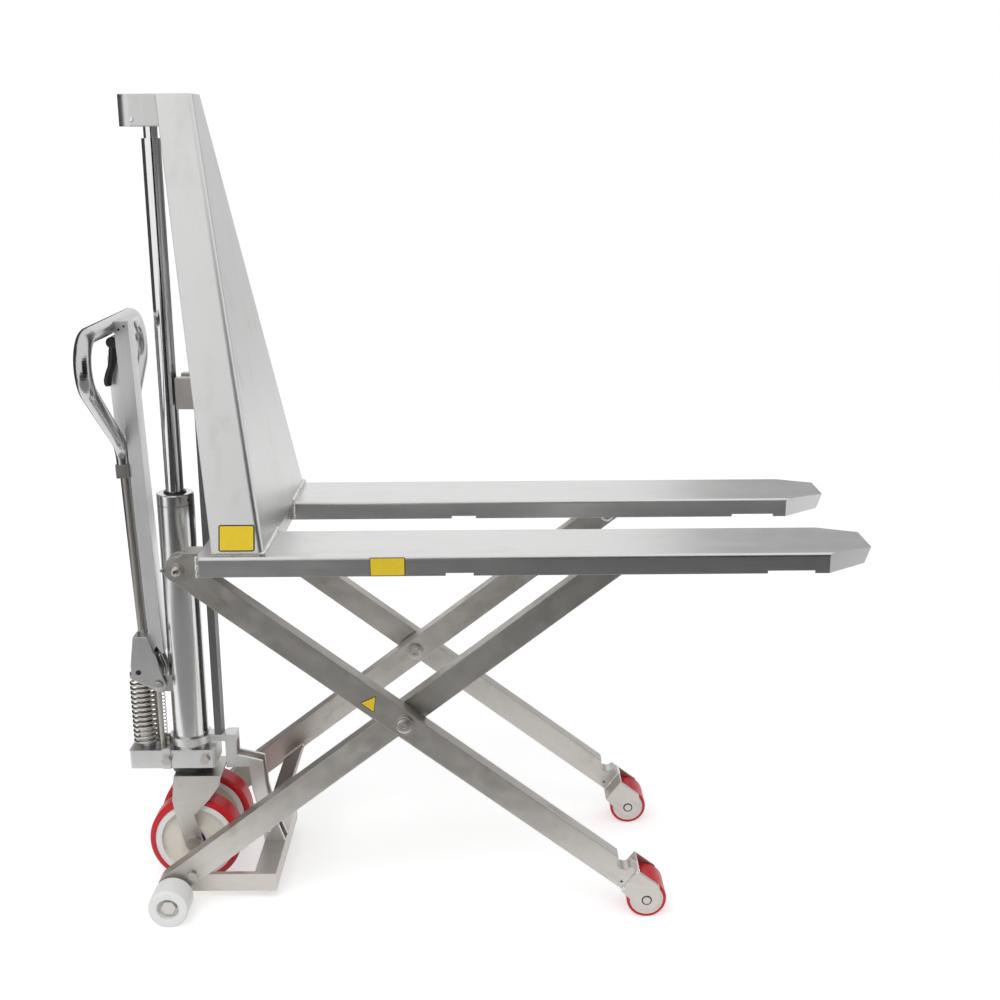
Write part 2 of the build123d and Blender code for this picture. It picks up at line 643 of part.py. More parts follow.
# Top bracket that takes the rod's end in a slot
block_low = block_top - TOP_BLOCK_HEIGHT
SET_SCREW_X = -25
SET_SCREW_RISE = 12
SET_SCREW_DEPTH = 12
RAIL_SLOT_ROOM = 6         # the forks drift forwards this much while the bracket passes the rail
low_rise = radians(LOW_ANGLE)
fork_drift = (LONG_HALF - SHORT_HALF) * (cos(low_rise) - cos(rise)) + AXLE_DROP * (sin(rise) - sin(low_rise))
rail_slot_rear = RAIL_X - fork_drift - 2 * GUIDE_PLAY
rail_slot_front = RAIL_X + RAIL_DEPTH - fork_drift + RAIL_SLOT_ROOM
bracket_half = BACK_TOP_WIDTH / 2 - BACK_SHEET
with BuildPart() as top_bracket:
    with BuildSketch(side_plane(0, 0, 0)):
        Polygon((-TOP_BLOCK_REAR, block_low), (panel_rear(block_low), block_low),
                (panel_rear(block_top), block_top), (-TOP_BLOCK_REAR, block_top), align=None)
    extrude(amount=bracket_half, both=True)
    fillet(top_bracket.edges().filter_by(Axis.Z).sort_by(Axis.X)[:2], TOP_BLOCK_ROUND)
    with BuildSketch(Plane.XY.offset(block_low)):
        with Locations((CLEARANCE - ROD_PLAY / 2, 0)):
            SlotCenterToCenter(ROD_PLAY, 2 * (ROD_NECK_RADIUS + 2 * CLEARANCE))
    extrude(amount=ROD_GRIP + ROD_HEADROOM, mode=Mode.SUBTRACT)
    with BuildSketch(side_plane(0, 0, 0)):
        box_between(rail_slot_rear, rail_slot_front, block_low - CUT_PAST, block_top + CUT_PAST)
    extrude(amount=RAIL_WIDTH / 2 + GUIDE_PLAY, both=True, mode=Mode.SUBTRACT)
    with BuildSketch(side_plane(SET_SCREW_X, -bracket_half, block_low + SET_SCREW_RISE)):
        Circle(SET_SCREW_RADIUS)
    extrude(amount=-SET_SCREW_DEPTH, mode=Mode.SUBTRACT)
save(top_bracket, "top_bracket")

# Guide block on the backrest, whose jaws run along the guide rail
guide_top = GUIDE_BLOCK_Z + GUIDE_BLOCK_HEIGHT
with BuildPart() as guide_block:
    with BuildSketch(side_plane(0, 0, 0)):
        Polygon((GUIDE_REACH, GUIDE_BLOCK_Z), (panel_rear(GUIDE_BLOCK_Z), GUIDE_BLOCK_Z),
                (panel_rear(guide_top), guide_top), (GUIDE_REACH, guide_top), align=None)
    extrude(amount=GUIDE_HALF_WIDTH, both=True)
    with BuildSketch(side_plane(0, 0, 0)):
        box_between(0, RAIL_X + RAIL_DEPTH + GUIDE_PLAY, 0, block_top)
    extrude(amount=RAIL_WIDTH / 2 + GUIDE_PLAY, both=True, mode=Mode.SUBTRACT)
save(guide_block, "guide_block")

# Piston rod, drawn out to its full stroke
rod_shoulder = block_low - ROD_NECK_LENGTH
rod_foot = CYLINDER_TOP - ROD_INSIDE
with BuildPart() as piston_rod:
    across_rod(Plane.XY, ROD_RADIUS, rod_foot, rod_shoulder)
    across_rod(Plane.XY, ROD_NECK_RADIUS, rod_shoulder, block_low + ROD_GRIP)
save(piston_rod, "piston_rod")

# Lift cylinder with the lug that carries the handle, its closed foot and its head
FOOT_PLATE = 4
lug_low = HANDLE_PIVOT_Z - LUG_HEIGHT / 2
with BuildPart() as cylinder_tube:
    with BuildSketch(level(lug_low)):
        box_between(-LUG_REAR, 0, -LUG_HALF_WIDTH, LUG_HALF_WIDTH)
    extrude(amount=LUG_HEIGHT)
    across_rod(Plane.XY, CYLINDER_RADIUS, BLOCK_TOP, CYLINDER_TOP - HEAD_HEIGHT)
    across_rod(Plane.XY, CYLINDER_FOOT_RADIUS, CYLINDER_FOOT_Z, BLOCK_TOP)
    across_rod(Plane.XY, CYLINDER_BORE, CYLINDER_FOOT_Z + FOOT_PLATE, CYLINDER_TOP, Mode.SUBTRACT)
    across_rod(side_plane(HANDLE_PIVOT_X, 0, HANDLE_PIVOT_Z), ROCKER_PIN_RADIUS + RUNNING_FIT,
               -CYLINDER_RADIUS, CYLINDER_RADIUS, Mode.SUBTRACT)
save(cylinder_tube, "cylinder_tube")

HEAD_CHAMFER = 1.5
HEAD_HOLE_RADIUS = 2.5
HEAD_HOLE_TURN = 55        # from the truck's right side round to its front
with BuildPart() as cylinder_head:
    across_rod(Plane.XY, CYLINDER_RADIUS, CYLINDER_TOP - HEAD_HEIGHT, CYLINDER_TOP)
    chamfer(cylinder_head.edges().filter_by(GeomType.CIRCLE), HEAD_CHAMFER)
    across_rod(Plane.XY, ROD_RADIUS + CLEARANCE, CYLINDER_TOP - 2 * HEAD_HEIGHT, CYLINDER_TOP + CUT_PAST,
               Mode.SUBTRACT)
    hole_way = Vector(sin(radians(HEAD_HOLE_TURN)), -cos(radians(HEAD_HOLE_TURN)), 0)
    hole_mouth = hole_way * CYLINDER_RADIUS + Vector(0, 0, CYLINDER_TOP - HEAD_HEIGHT / 2)
    across_rod(Plane(origin=hole_mouth, z_dir=hole_way), HEAD_HOLE_RADIUS, -HEAD_HEIGHT / 2, CUT_PAST,
               Mode.SUBTRACT)
save(cylinder_head, "cylinder_head")

# Base frame: side bars to the hinges, a cross beam, risers to the column collar and the guide rail
base_top = BASE_BOTTOM + BASE_BAR_HEIGHT
with BuildPart() as base_frame:
    for side in SIDES.values():
        with BuildSketch(side_plane(0, side * (bar_inner + bar_outer) / 2, 0)):
            box_between(hinge.X, BEAM_FRONT, BASE_BOTTOM, base_top)
            with Locations((hinge.X, BASE_BOTTOM + BASE_BAR_HEIGHT / 2)):
                Circle(BASE_BAR_HEIGHT / 2)
            with Locations((hinge.X, hinge.Z)):
                Circle(PIN_RADIUS + RUNNING_FIT, mode=Mode.SUBTRACT)
        extrude(amount=BASE_BAR_THICK / 2, both=True)
    with BuildSketch(side_plane(0, 0, 0)):
        box_between(BEAM_REAR, BEAM_FRONT, BASE_BOTTOM, base_top)
        with Locations(((BEAM_REAR + BEAM_FRONT) / 2, BASE_BOTTOM - SHEET)):
            Rectangle(BEAM_FRONT - BEAM_REAR - 2 * SHEET, 2 * BASE_BAR_HEIGHT, mode=Mode.SUBTRACT)
    extrude(amount=bar_inner, both=True)
save(base_frame, "base_frame")

COLLAR_REACH = 92
collar_top = COLLAR_Z + COLLAR_HEIGHT
riser_front = [(BEAM_FRONT, base_top), (RISER_KNEE_X + RISER_DEPTH, RISER_KNEE_Z),
               (RISER_WAIST_X + RISER_DEPTH, RISER_WAIST_Z),
               (RISER_SHOULDER_X + RISER_DEPTH, RISER_SHOULDER_Z + RISER_STEP / 2),
               (COLLAR_REACH, RISER_SHOULDER_Z + RISER_STEP), (COLLAR_REACH, collar_top)]
riser_rear = [(RISER_HEAD_X, collar_top), (RISER_HEAD_X, RISER_SHOULDER_Z),
              (RISER_SHOULDER_X, RISER_SHOULDER_Z), (RISER_WAIST_X, RISER_WAIST_Z),
              (RISER_KNEE_X, RISER_KNEE_Z), (BEAM_REAR, base_top)]
with BuildPart() as risers:
    for side in SIDES.values():
        with BuildSketch(side_plane(0, side * (RISER_HALF_GAP + RISER_SHEET / 2), 0)):
            Polygon(*riser_front, *riser_rear, align=None)
        extrude(amount=RISER_SHEET / 2, both=True)
save(risers, "risers")

with BuildPart() as column_collar:
    with BuildSketch(Plane.XY.offset(COLLAR_Z)):
        Circle(CYLINDER_RADIUS + COLLAR_WALL)
        box_between(0, COLLAR_REACH, -RISER_HALF_GAP, RISER_HALF_GAP)
        Circle(CYLINDER_RADIUS + CLEARANCE, mode=Mode.SUBTRACT)
    extrude(amount=COLLAR_HEIGHT)
save(column_collar, "column_collar")

with BuildPart() as guide_rail:
    with BuildSketch(Plane.XY.offset(collar_top)):
        box_between(RAIL_X, RAIL_X + RAIL_DEPTH, -RAIL_WIDTH / 2, RAIL_WIDTH / 2)
    extrude(amount=GUIDE_BLOCK_Z + GUIDE_BLOCK_HEIGHT - RAIL_SHORT - collar_top)
save(guide_rail, "guide_rail")

# Steering: bearing ring, yoke, axle and the two wheels
yoke_top = block_bottom - BEARING_HEIGHT
leg_inner = (WHEEL_PITCH + WHEEL_WIDTH) / 2 + YOKE_GAP
leg_outer = leg_inner + YOKE_SHEET
with BuildPart() as bearing_ring:
    across_rod(Plane.XY, BEARING_RADIUS, yoke_top, block_bottom)
    across_rod(Plane.XY, CYLINDER_FOOT_RADIUS + CLEARANCE, yoke_top - CUT_PAST, block_bottom + CUT_PAST,
               Mode.SUBTRACT)
save(bearing_ring, "bearing_ring")

axle_side = side_plane(WHEEL_AXLE_X, 0, WHEEL_RADIUS)
shoulder_slope = YOKE_SHOULDER_DROP / (leg_outer - YOKE_TOP_HALF)
shoulder_shift = YOKE_SHEET * (sqrt(1 + shoulder_slope ** 2) - 1) / shoulder_slope


def yoke_section(top_half, leg, top):
    """Outline of the yoke from the front: a flat top, sloping shoulders and upright legs."""
    shoulder_z = top - (leg - top_half) * shoulder_slope
    Polygon((-leg, 0), (leg, 0), (leg, shoulder_z), (top_half, top), (-top_half, top), (-leg, shoulder_z),
            align=None)


with BuildPart() as steering_yoke:
    half_leg = YOKE_LEG_WIDTH / 2
    neck_x = WHEEL_AXLE_X - YOKE_LEG_SHIFT
    with BuildSketch(side_plane(0, 0, 0)):
        Polygon((-YOKE_TOP_REAR, yoke_top), (neck_x - half_leg, YOKE_NECK_Z),
                (WHEEL_AXLE_X - half_leg, WHEEL_RADIUS), (WHEEL_AXLE_X + half_leg, WHEEL_RADIUS),
                (neck_x + half_leg, YOKE_NECK_Z), (YOKE_TOP_FRONT, yoke_top - YOKE_TOP_DROP),
                (YOKE_TOP_FRONT, yoke_top), align=None)
        with Locations((WHEEL_AXLE_X, WHEEL_RADIUS)):
            Circle(half_leg)
    extrude(amount=leg_outer, both=True)
    with BuildSketch(Plane.YZ):
        yoke_section(YOKE_TOP_HALF, leg_outer, yoke_top)
    extrude(amount=WHEEL_RADIUS, both=True, mode=Mode.INTERSECT)
    with BuildSketch(Plane.YZ):
        yoke_section(YOKE_TOP_HALF - shoulder_shift, leg_inner, yoke_top - YOKE_SHEET)
    extrude(amount=WHEEL_RADIUS, both=True, mode=Mode.SUBTRACT)
    across_rod(Plane.XY, CYLINDER_FOOT_RADIUS + CLEARANCE, yoke_top - 2 * YOKE_SHEET, yoke_top + CUT_PAST,
               Mode.SUBTRACT)
    across_rod(axle_side, HUB_BORE + RUNNING_FIT, -2 * leg_outer, 2 * leg_outer, Mode.SUBTRACT)
save(steering_yoke, "steering_yoke")

AXLE_NUT_RADIUS = 15
AXLE_NUT_HEIGHT = 6
with BuildPart() as wheel_axle:
    across_rod(axle_side, HUB_BORE, -leg_outer, leg_outer)
    across_rod(axle_side, AXLE_NUT_RADIUS, leg_outer, leg_outer + AXLE_NUT_HEIGHT)
    across_rod(axle_side, AXLE_NUT_RADIUS, -leg_outer - AXLE_NUT_HEIGHT, -leg_outer)
save(wheel_axle, "wheel_axle")

TYRE_ROUND = 7
HUB_WIDTH = 46
HUB_BOSS = 28
HUB_RIM = 66
HUB_DISH = 10
for name, side in SIDES.items():
    wheel_side = side_plane(WHEEL_AXLE_X, side * WHEEL_PITCH / 2, WHEEL_RADIUS)
    with BuildPart() as steer_tyre:
        across_rod(wheel_side, WHEEL_RADIUS, -WHEEL_WIDTH / 2, WHEEL_WIDTH / 2)
        fillet(steer_tyre.edges().filter_by(GeomType.CIRCLE), TYRE_ROUND)
        across_rod(wheel_side, WHEEL_RADIUS - TYRE_WALL, -WHEEL_WIDTH, WHEEL_WIDTH, Mode.SUBTRACT)
    save(steer_tyre, f"steer_tyre_{name}")

    with BuildPart() as steer_hub:
        across_rod(wheel_side, WHEEL_RADIUS - TYRE_WALL, -HUB_WIDTH / 2, HUB_WIDTH / 2)
        for face in (-1, 1):
            with BuildSketch(wheel_side.offset(face * HUB_WIDTH / 2)):
                Circle(HUB_RIM)
                Circle(HUB_BOSS, mode=Mode.SUBTRACT)
            extrude(amount=-face * HUB_DISH, mode=Mode.SUBTRACT)
        across_rod(wheel_side, HUB_BORE + RUNNING_FIT, -HUB_WIDTH, HUB_WIDTH, Mode.SUBTRACT)
    save(steer_hub, f"steer_hub_{name}")

# Pump block with its barrel, clamp plates and bolts
CLAMP_X = -42
CLAMP_WIDTH = 16
CLAMP_INSET = 6
CLAMP_PROUD = 3
CLAMP_RISE = 4
BORE_FLOOR = 12
BLOCK_BOLT_X = 33
barrel_top = BLOCK_TOP + BARREL_HEIGHT
half_block = BLOCK_WIDTH / 2
with BuildPart() as pump_block:
    with BuildSketch(level(block_bottom)):
        with Locations(((BLOCK_FRONT - BLOCK_REAR) / 2, 0)):
            RectangleRounded(BLOCK_FRONT + BLOCK_REAR, BLOCK_WIDTH, BLOCK_FILLET)
        for side in SIDES.values():
            with Locations((CLAMP_X, side * half_block)):
                Rectangle(CLAMP_WIDTH, 2 * CLAMP_INSET, mode=Mode.SUBTRACT)
    extrude(amount=BLOCK_HEIGHT)
    across_rod(level(0, PLUNGER_X), BARREL_RADIUS, BLOCK_TOP, barrel_top)
    across_rod(level(0, PLUNGER_X), PLUNGER_RADIUS + RUNNING_FIT, block_bottom + BORE_FLOOR,
               barrel_top + CUT_PAST, Mode.SUBTRACT)
    across_rod(Plane.XY, CYLINDER_FOOT_RADIUS + RUNNING_FIT, block_bottom - CUT_PAST, BLOCK_TOP + CUT_PAST,
               Mode.SUBTRACT)
save(pump_block, "pump_block")

with BuildPart() as clamp_plates:
    for side in SIDES.values():
        with BuildSketch(level(block_bottom)):
            with Locations((CLAMP_X, side * (half_block + (CLAMP_PROUD - CLAMP_INSET) / 2))):
                Rectangle(CLAMP_WIDTH, CLAMP_INSET + CLAMP_PROUD)
        extrude(amount=BLOCK_HEIGHT + CLAMP_RISE)
save(clamp_plates, "clamp_plates")

with BuildPart() as block_bolts:
    for side in SIDES.values():
        for x, face in ((BLOCK_BOLT_X, half_block), (CLAMP_X, half_block + CLAMP_PROUD)):
            with BuildSketch(side_plane(x, 0, block_bottom + BLOCK_HEIGHT / 2).offset(-side * face)):
                RegularPolygon(HEX_ACROSS / 2, 6, major_radius=False)
            extrude(amount=-side * HEX_HEIGHT)
save(block_bolts, "block_bolts")

# Pump plunger and its cap
cap_low = BLOCK_TOP + SPRING_HEIGHT
cap_top = cap_low + PLUNGER_CAP_HEIGHT
with BuildPart() as pump_plunger:
    across_rod(level(0, PLUNGER_X), PLUNGER_RADIUS, barrel_top - PLUNGER_SINK, cap_low)
    across_rod(level(0, PLUNGER_X), PLUNGER_CAP_RADIUS, cap_low, cap_top)
save(pump_plunger, "pump_plunger")


# Springs, each one wire wound in quarter turns
def helix_stop(axis_x, radius, low, pitch, turn):
    """A point of a coil and the way it runs there."""
    angle = 2 * pi * turn
    point = Vector(axis_x + radius * cos(angle), radius * sin(angle), low + pitch * turn)
    ahead = Vector(-radius * sin(angle), radius * cos(angle), pitch / (2 * pi))
    return point, ahead.normalized()


def biarc(start, leave, end, arrive):
    """Two arcs that join two points and keep to the directions given there."""
    gap = end - start
    both = leave + arrive
    spread = 2 * (1 - leave.dot(arrive))
    reach = (sqrt(gap.dot(both) ** 2 + spread * gap.dot(gap)) - gap.dot(both)) / spread
    knee_in = start + leave * reach
    knee_out = end - arrive * reach
    middle = (knee_in + knee_out) * 0.5
    TangentArc(start, middle, tangent=leave)
    TangentArc(middle, end, tangent=knee_out - knee_in)


def spring_wire(axis_x, radius, wire, low, high, turns):
    """One unbroken wire from a straight lead, up the coil, to a straight lead."""
    climb = atan2((high - low) / turns, 2 * pi * radius)
    lead = SPRING_LEAD * wire
    inset = wire * cos(climb) + lead * sin(climb)
    pitch = (high - low - 2 * inset) / turns
    quarters = range(int(4 * turns) + 1)
    stops = [helix_stop(axis_x, radius, low + inset, pitch, quarter / 4) for quarter in quarters]
    with BuildPart() as spring:
        with BuildLine() as path:
            first, ahead = stops[0]
            Line(first - ahead * lead, first)
            for (start, leave), (end, arrive) in zip(stops, stops[1:]):
                biarc(start, leave, end, arrive)
            last, onwards = stops[-1]
            Line(last, last + onwards * lead)
        with BuildSketch(Plane(origin=first - ahead * lead, z_dir=ahead)):
            Circle(wire)
        sweep(path=path.wires()[0])
    return spring


save(spring_wire(PLUNGER_X, SPRING_RADIUS, SPRING_WIRE, BLOCK_TOP + CLEARANCE,
                 cap_low - CLEARANCE, SPRING_TURNS), "pump_spring")
save(spring_wire(THIN_SPRING_X, THIN_SPRING_RADIUS, THIN_SPRING_WIRE, BLOCK_TOP + CLEARANCE,
                 lug_low - CLEARANCE, THIN_SPRING_TURNS), "return_spring")

with BuildPart() as release_rod:
    across_rod(level(0, RELEASE_ROD_X, RELEASE_ROD_Y), RELEASE_ROD_RADIUS, BLOCK_TOP, lug_low)
save(release_rod, "release_rod")

# Rocker at the foot of the handle, its pin and the roller that presses the plunger
lean = radians(HANDLE_LEAN)
press_back = HANDLE_PIVOT_X - PLUNGER_X
press_rise = cap_top + PRESS_ROLLER_RADIUS + CLEARANCE - HANDLE_PIVOT_Z
press_along = press_back * sin(lean) + press_rise * cos(lean)
press_across = press_back * cos(lean) - press_rise * sin(lean)
JOURNAL_RADIUS = 6
PIVOT_ROUND = 14
ROCKER_REAR = 40
rocker_outer = ROCKER_HALF_GAP + ROCKER_SHEET
half_bar = BAR_DEPTH / 2
with BuildPart() as rocker:
    with BuildSketch(handle_side(0)):
        Polygon((0, -PIVOT_ROUND), (-PIVOT_ROUND, 0), (press_along - PIVOT_ROUND, press_across + PIVOT_ROUND),
                (press_along + PIVOT_ROUND, press_across + PIVOT_ROUND), (ROCKER_TOP, ROCKER_REAR),
                (ROCKER_TOP, half_bar), align=None)
        Circle(PIVOT_ROUND)
    extrude(amount=rocker_outer, both=True)
    with BuildSketch(handle_side(0)):
        box_between(-ROCKER_TOP, ROCKER_TOP - ROCKER_SHEET, -ROCKER_TOP, ROCKER_TOP)
        box_between(0, 2 * ROCKER_TOP, -ROCKER_TOP, half_bar)
    extrude(amount=ROCKER_HALF_GAP, both=True, mode=Mode.SUBTRACT)
    with BuildSketch(handle_side(0)):
        Circle(ROCKER_PIN_RADIUS + RUNNING_FIT)
        with Locations((press_along, press_across)):
            Circle(JOURNAL_RADIUS + RUNNING_FIT)
    extrude(amount=2 * rocker_outer, both=True, mode=Mode.SUBTRACT)
save(rocker, "rocker")

PIN_END = 3
with BuildPart() as rocker_pin:
    across_rod(handle_side(0), ROCKER_PIN_RADIUS, -rocker_outer - PIN_END, rocker_outer + PIN_END)
save(rocker_pin, "rocker_pin")

with BuildPart() as press_roller:
    roller_side = handle_side(press_along, press_across)
    across_rod(roller_side, PRESS_ROLLER_RADIUS, 1 - ROCKER_HALF_GAP, ROCKER_HALF_GAP - 1)
    across_rod(roller_side, JOURNAL_RADIUS, -rocker_outer, rocker_outer)
save(press_roller, "press_roller")

# Handle: a hollow bar from foot to top, with the ears of the control lever
EAR_HALF_GAP = 7
CONTROL_EAR_SHEET = 4
lever_across = half_bar + CONTROL_EAR
with BuildPart() as handle_bar:
    with BuildSketch(handle_side(0)):
        box_between(BAR_FOOT, bar_top, -half_bar, half_bar)
    extrude(amount=BAR_WIDTH / 2, both=True)
    with BuildSketch(handle_side(0)):
        box_between(BAR_FOOT - CUT_PAST, bar_top - BAR_WALL, BAR_WALL - half_bar, half_bar - BAR_WALL)
    extrude(amount=BAR_WIDTH / 2 - BAR_WALL, both=True, mode=Mode.SUBTRACT)
    with BuildSketch(handle_side(0)):
        Polygon((BAR_FOOT, BAR_WALL - half_bar), (BAR_FOOT, half_bar - BAR_WALL), (BAR_FOOT + BAR_CUT, 0),
                align=None)
    extrude(amount=BAR_WIDTH, both=True, mode=Mode.SUBTRACT)
    for side in SIDES.values():
        with BuildSketch(handle_side(control_pivot, lever_across).offset(side * EAR_HALF_GAP)):
            Circle(CONTROL_EAR - 1)
            box_between(1 - CONTROL_EAR, CONTROL_EAR - 1, -CONTROL_EAR, 0)
            Circle(CONTROL_PIN_RADIUS + RUNNING_FIT, mode=Mode.SUBTRACT)
        extrude(amount=side * CONTROL_EAR_SHEET)
save(handle_bar, "handle_bar")

# Tube behind the bar, with the socket that takes the loop's legs, and the loop
loop_across = half_bar + LOOP_TUBE
tube_x, tube_z = handle_point(0, loop_across)
tube_foot = Plane(origin=(tube_x, 0, tube_z), z_dir=(-sin(lean), 0, cos(lean)))
with BuildPart() as handle_tube:
    across_rod(tube_foot, LOOP_TUBE, ROCKER_TOP, loop_start)
    with BuildSketch(handle_side(0)):
        box_between(loop_start - SOCKET_HEIGHT, loop_start, half_bar, loop_across + LOOP_TUBE)
    extrude(amount=LOOP_LEG + LOOP_TUBE, both=True)
    across_rod(tube_foot, LOOP_TUBE - LOOP_WALL, ROCKER_TOP - CUT_PAST, loop_start - BAR_WALL, Mode.SUBTRACT)
save(handle_tube, "handle_tube")

loop_side = LOOP_HALF_WIDTH - LOOP_TAPER
shoulder = HANDLE_LENGTH - LOOP_SHOULDER
leg_top = loop_start + LOOP_LEG_RISE
with BuildPart() as handle_loop:
    with BuildLine(handle_face(loop_across)) as loop_path:
        FilletPolyline((LOOP_LEG, loop_start), (LOOP_LEG, leg_top), (LOOP_HALF_WIDTH, shoulder),
                       (loop_side, HANDLE_LENGTH), (-loop_side, HANDLE_LENGTH), (-LOOP_HALF_WIDTH, shoulder),
                       (-LOOP_LEG, leg_top), (-LOOP_LEG, loop_start), radius=LOOP_CORNER)
    with BuildSketch(loop_path.wires()[0] ^ 0):
        Circle(LOOP_TUBE)
        Circle(LOOP_TUBE - LOOP_WALL, mode=Mode.SUBTRACT)
    sweep(path=loop_path.wires()[0])
save(handle_loop, "handle_loop")

# Control lever on its pin, hanging behind the bar
LEVER_HALF_THICK = 6
LEVER_HUB = 8
LEVER_SWELL = 2
LEVER_BACK = 1
LEVER_TIP = 24             # the lever's end stands this far behind its pin
with BuildPart() as control_lever:
    with BuildSketch(handle_side(control_pivot, lever_across)):
        Circle(LEVER_HUB)
        lever_middle = -CONTROL_LEVER_LENGTH / 2
        Polygon((0, LEVER_HUB), (lever_middle, LEVER_HUB + LEVER_SWELL), (-CONTROL_LEVER_LENGTH, LEVER_TIP),
                (-CONTROL_LEVER_LENGTH, LEVER_HUB), (lever_middle, -LEVER_BACK), (0, -LEVER_HUB), align=None)
    extrude(amount=LEVER_HALF_THICK, both=True)
    journal = EAR_HALF_GAP + CONTROL_EAR_SHEET
    across_rod(handle_side(control_pivot, lever_across), CONTROL_PIN_RADIUS, -journal, journal)
save(control_lever, "control_lever")
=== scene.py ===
"""Finishes, fittings and studio for a stainless scissor pallet truck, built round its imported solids."""
import json
import math

import bmesh
import bpy
from bpy.props import FloatProperty, FloatVectorProperty, IntProperty, PointerProperty
from bpy.types import Operator, Panel, PropertyGroup
from mathutils import Matrix, Vector


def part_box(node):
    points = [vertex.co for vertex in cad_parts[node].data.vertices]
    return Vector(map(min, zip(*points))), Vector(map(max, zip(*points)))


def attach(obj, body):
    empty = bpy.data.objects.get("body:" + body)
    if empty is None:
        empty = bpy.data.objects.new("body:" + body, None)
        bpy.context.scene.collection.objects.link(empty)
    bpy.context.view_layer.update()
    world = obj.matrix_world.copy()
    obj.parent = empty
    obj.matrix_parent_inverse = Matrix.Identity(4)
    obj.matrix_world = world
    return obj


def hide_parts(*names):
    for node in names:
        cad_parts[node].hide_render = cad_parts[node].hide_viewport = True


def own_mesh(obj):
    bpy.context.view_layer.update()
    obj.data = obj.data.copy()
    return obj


bl_info = {
    "name": "Scissor pallet truck",
    "version": (1, 0, 0),
    "blender": (4, 5, 0),
    "location": "3D View > Sidebar > Truck",
    "description": "Finishes and small fittings for a stainless scissor pallet truck",
    "category": "Object",
}

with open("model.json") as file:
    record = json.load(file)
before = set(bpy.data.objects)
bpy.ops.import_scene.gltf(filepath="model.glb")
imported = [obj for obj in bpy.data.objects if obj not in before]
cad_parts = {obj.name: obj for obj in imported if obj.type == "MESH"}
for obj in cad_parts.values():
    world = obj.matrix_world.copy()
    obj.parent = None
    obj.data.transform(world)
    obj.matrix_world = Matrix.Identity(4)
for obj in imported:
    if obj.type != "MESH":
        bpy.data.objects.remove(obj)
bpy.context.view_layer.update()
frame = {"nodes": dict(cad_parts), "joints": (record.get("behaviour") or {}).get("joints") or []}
JOINTS = {joint["name"]: Vector(joint.get("pos_m", (0, 0, 0))) for joint in frame["joints"]}
SIDES = {"right": -1, "left": 1}
HINGE = JOINTS["lift"]
CENTRE = JOINTS["scissor"]
REAR_PIN = JOINTS["fork_level"]
SLOPE = math.atan2(REAR_PIN.z - CENTRE.z, CENTRE.x - REAR_PIN.x)
UP_ARM = Vector((math.cos(SLOPE), 0, math.sin(SLOPE)))
DOWN_ARM = Vector((math.cos(SLOPE), 0, -math.sin(SLOPE)))
ACROSS, UP = Vector((0, 1, 0)), Vector((0, 0, 1))
SMOOTH_ANGLE = math.radians(35)
MERGE_DISTANCE = 1e-6
EDGE_RADIUS = 0.0012
BLOCK_EDGE_STEPS = 3
CORNER_STEPS = 5


def colour_property(name, description, default):
    """A colour that a user can change."""
    return FloatVectorProperty(name=name, description=description, subtype="COLOR", size=3, min=0, max=1,
                               default=default)


def length_property(name, description, default):
    """A length in metres that a user can change."""
    return FloatProperty(name=name, description=description, unit="LENGTH", default=default, precision=4)


class TruckColours(PropertyGroup):
    """Colours of the truck's finishes."""

    steel: colour_property("Ground steel", "Satin stainless of the frame", (0.58, 0.555, 0.52))
    pale_steel: colour_property("Sheet steel", "Fine ground sheet of backrest and forks", (0.72, 0.72, 0.715))
    chrome: colour_property("Polished steel", "Piston rod", (0.82, 0.82, 0.83))
    loop: colour_property("Loop steel", "Polished tube of the handle's loop", (0.56, 0.56, 0.565))
    bar: colour_property("Bar steel", "Pale flats of the handle's bar", (0.90, 0.90, 0.92))
    # Painted shade: this tube's steel is set darker than the bar's because it lies in shade behind the bar.
    stem: colour_property("Stem steel", "Darker tube behind the handle's bar", (0.36, 0.345, 0.325))
    # Painted shade: the guide rail's steel is set this dark because it stands in shadow behind the cylinder.
    rail: colour_property("Rail steel", "Dull flat of the guide rail", (0.20, 0.20, 0.20))
    red: colour_property("Tyre red", "Cast polyurethane of tyres and rollers", (0.62, 0.008, 0.016))
    cream: colour_property("Hub cream", "Moulded nylon of the wheel hubs", (0.90, 0.86, 0.76))
    white: colour_property("Roller white", "Turned nylon of the floor rollers", (0.94, 0.94, 0.93))
    # Also the colour of the painted shade in holes and gaps, beside the plates' borders.
    black: colour_property("Black plastic", "Control lever and bearing ring", (0.012, 0.012, 0.012))
    blue: colour_property("Seal blue", "Bearing seals of the steering wheels", (0.02, 0.05, 0.20))
    bronze: colour_property("Cap bronze", "Cap of the pump plunger", (0.36, 0.31, 0.27))
    yellow: colour_property("Plate yellow", "Bare plates on flange, fork and arm", (0.80, 0.58, 0.02))


class TruckSizes(PropertyGroup):
    """Sizes of the small fittings."""

    weld_radius: length_property("Weld radius", "Half the width of a weld bead", 0.0042)
    weld_pitch: length_property("Weld pitch", "Step from one ripple of a weld to the next", 0.0036)
    spring_wire: length_property("Spring wire", "Radius of the pump spring's wire", 0.0031)
    return_wire: length_property("Return spring wire", "Radius of the thin spring's wire", 0.0009)
    seal_radius: length_property("Seal radius", "Outer radius of a wheel's bearing seal", 0.021)
    plate_thickness: length_property("Plate thickness", "Thickness of the yellow plates", 0.0008)
    coil_steps: IntProperty(name="Coil steps", description="Faces round one turn of a spring", min=8,
                            default=32)


class Socket:
    """One output of a node, with shader maths written as plain expressions."""

    def __init__(self, shader, output):
        self.shader = shader
        self.output = output

    def maths(self, operation, first, second):
        return self.shader.node("ShaderNodeMath", {"operation": operation}, {0: first, 1: second})

    def __add__(self, other):
        return self.maths("ADD", self, other)

    __radd__ = __add__

    def __mul__(self, other):
        return self.maths("MULTIPLY", self, other)

    def between(self, low, high):
        """Nought below one value, one above another and smooth between them."""
        limits = {"Value": self, "From Min": low, "From Max": high}
        return self.shader.node("ShaderNodeMapRange", {"interpolation_type": "SMOOTHSTEP"}, limits)


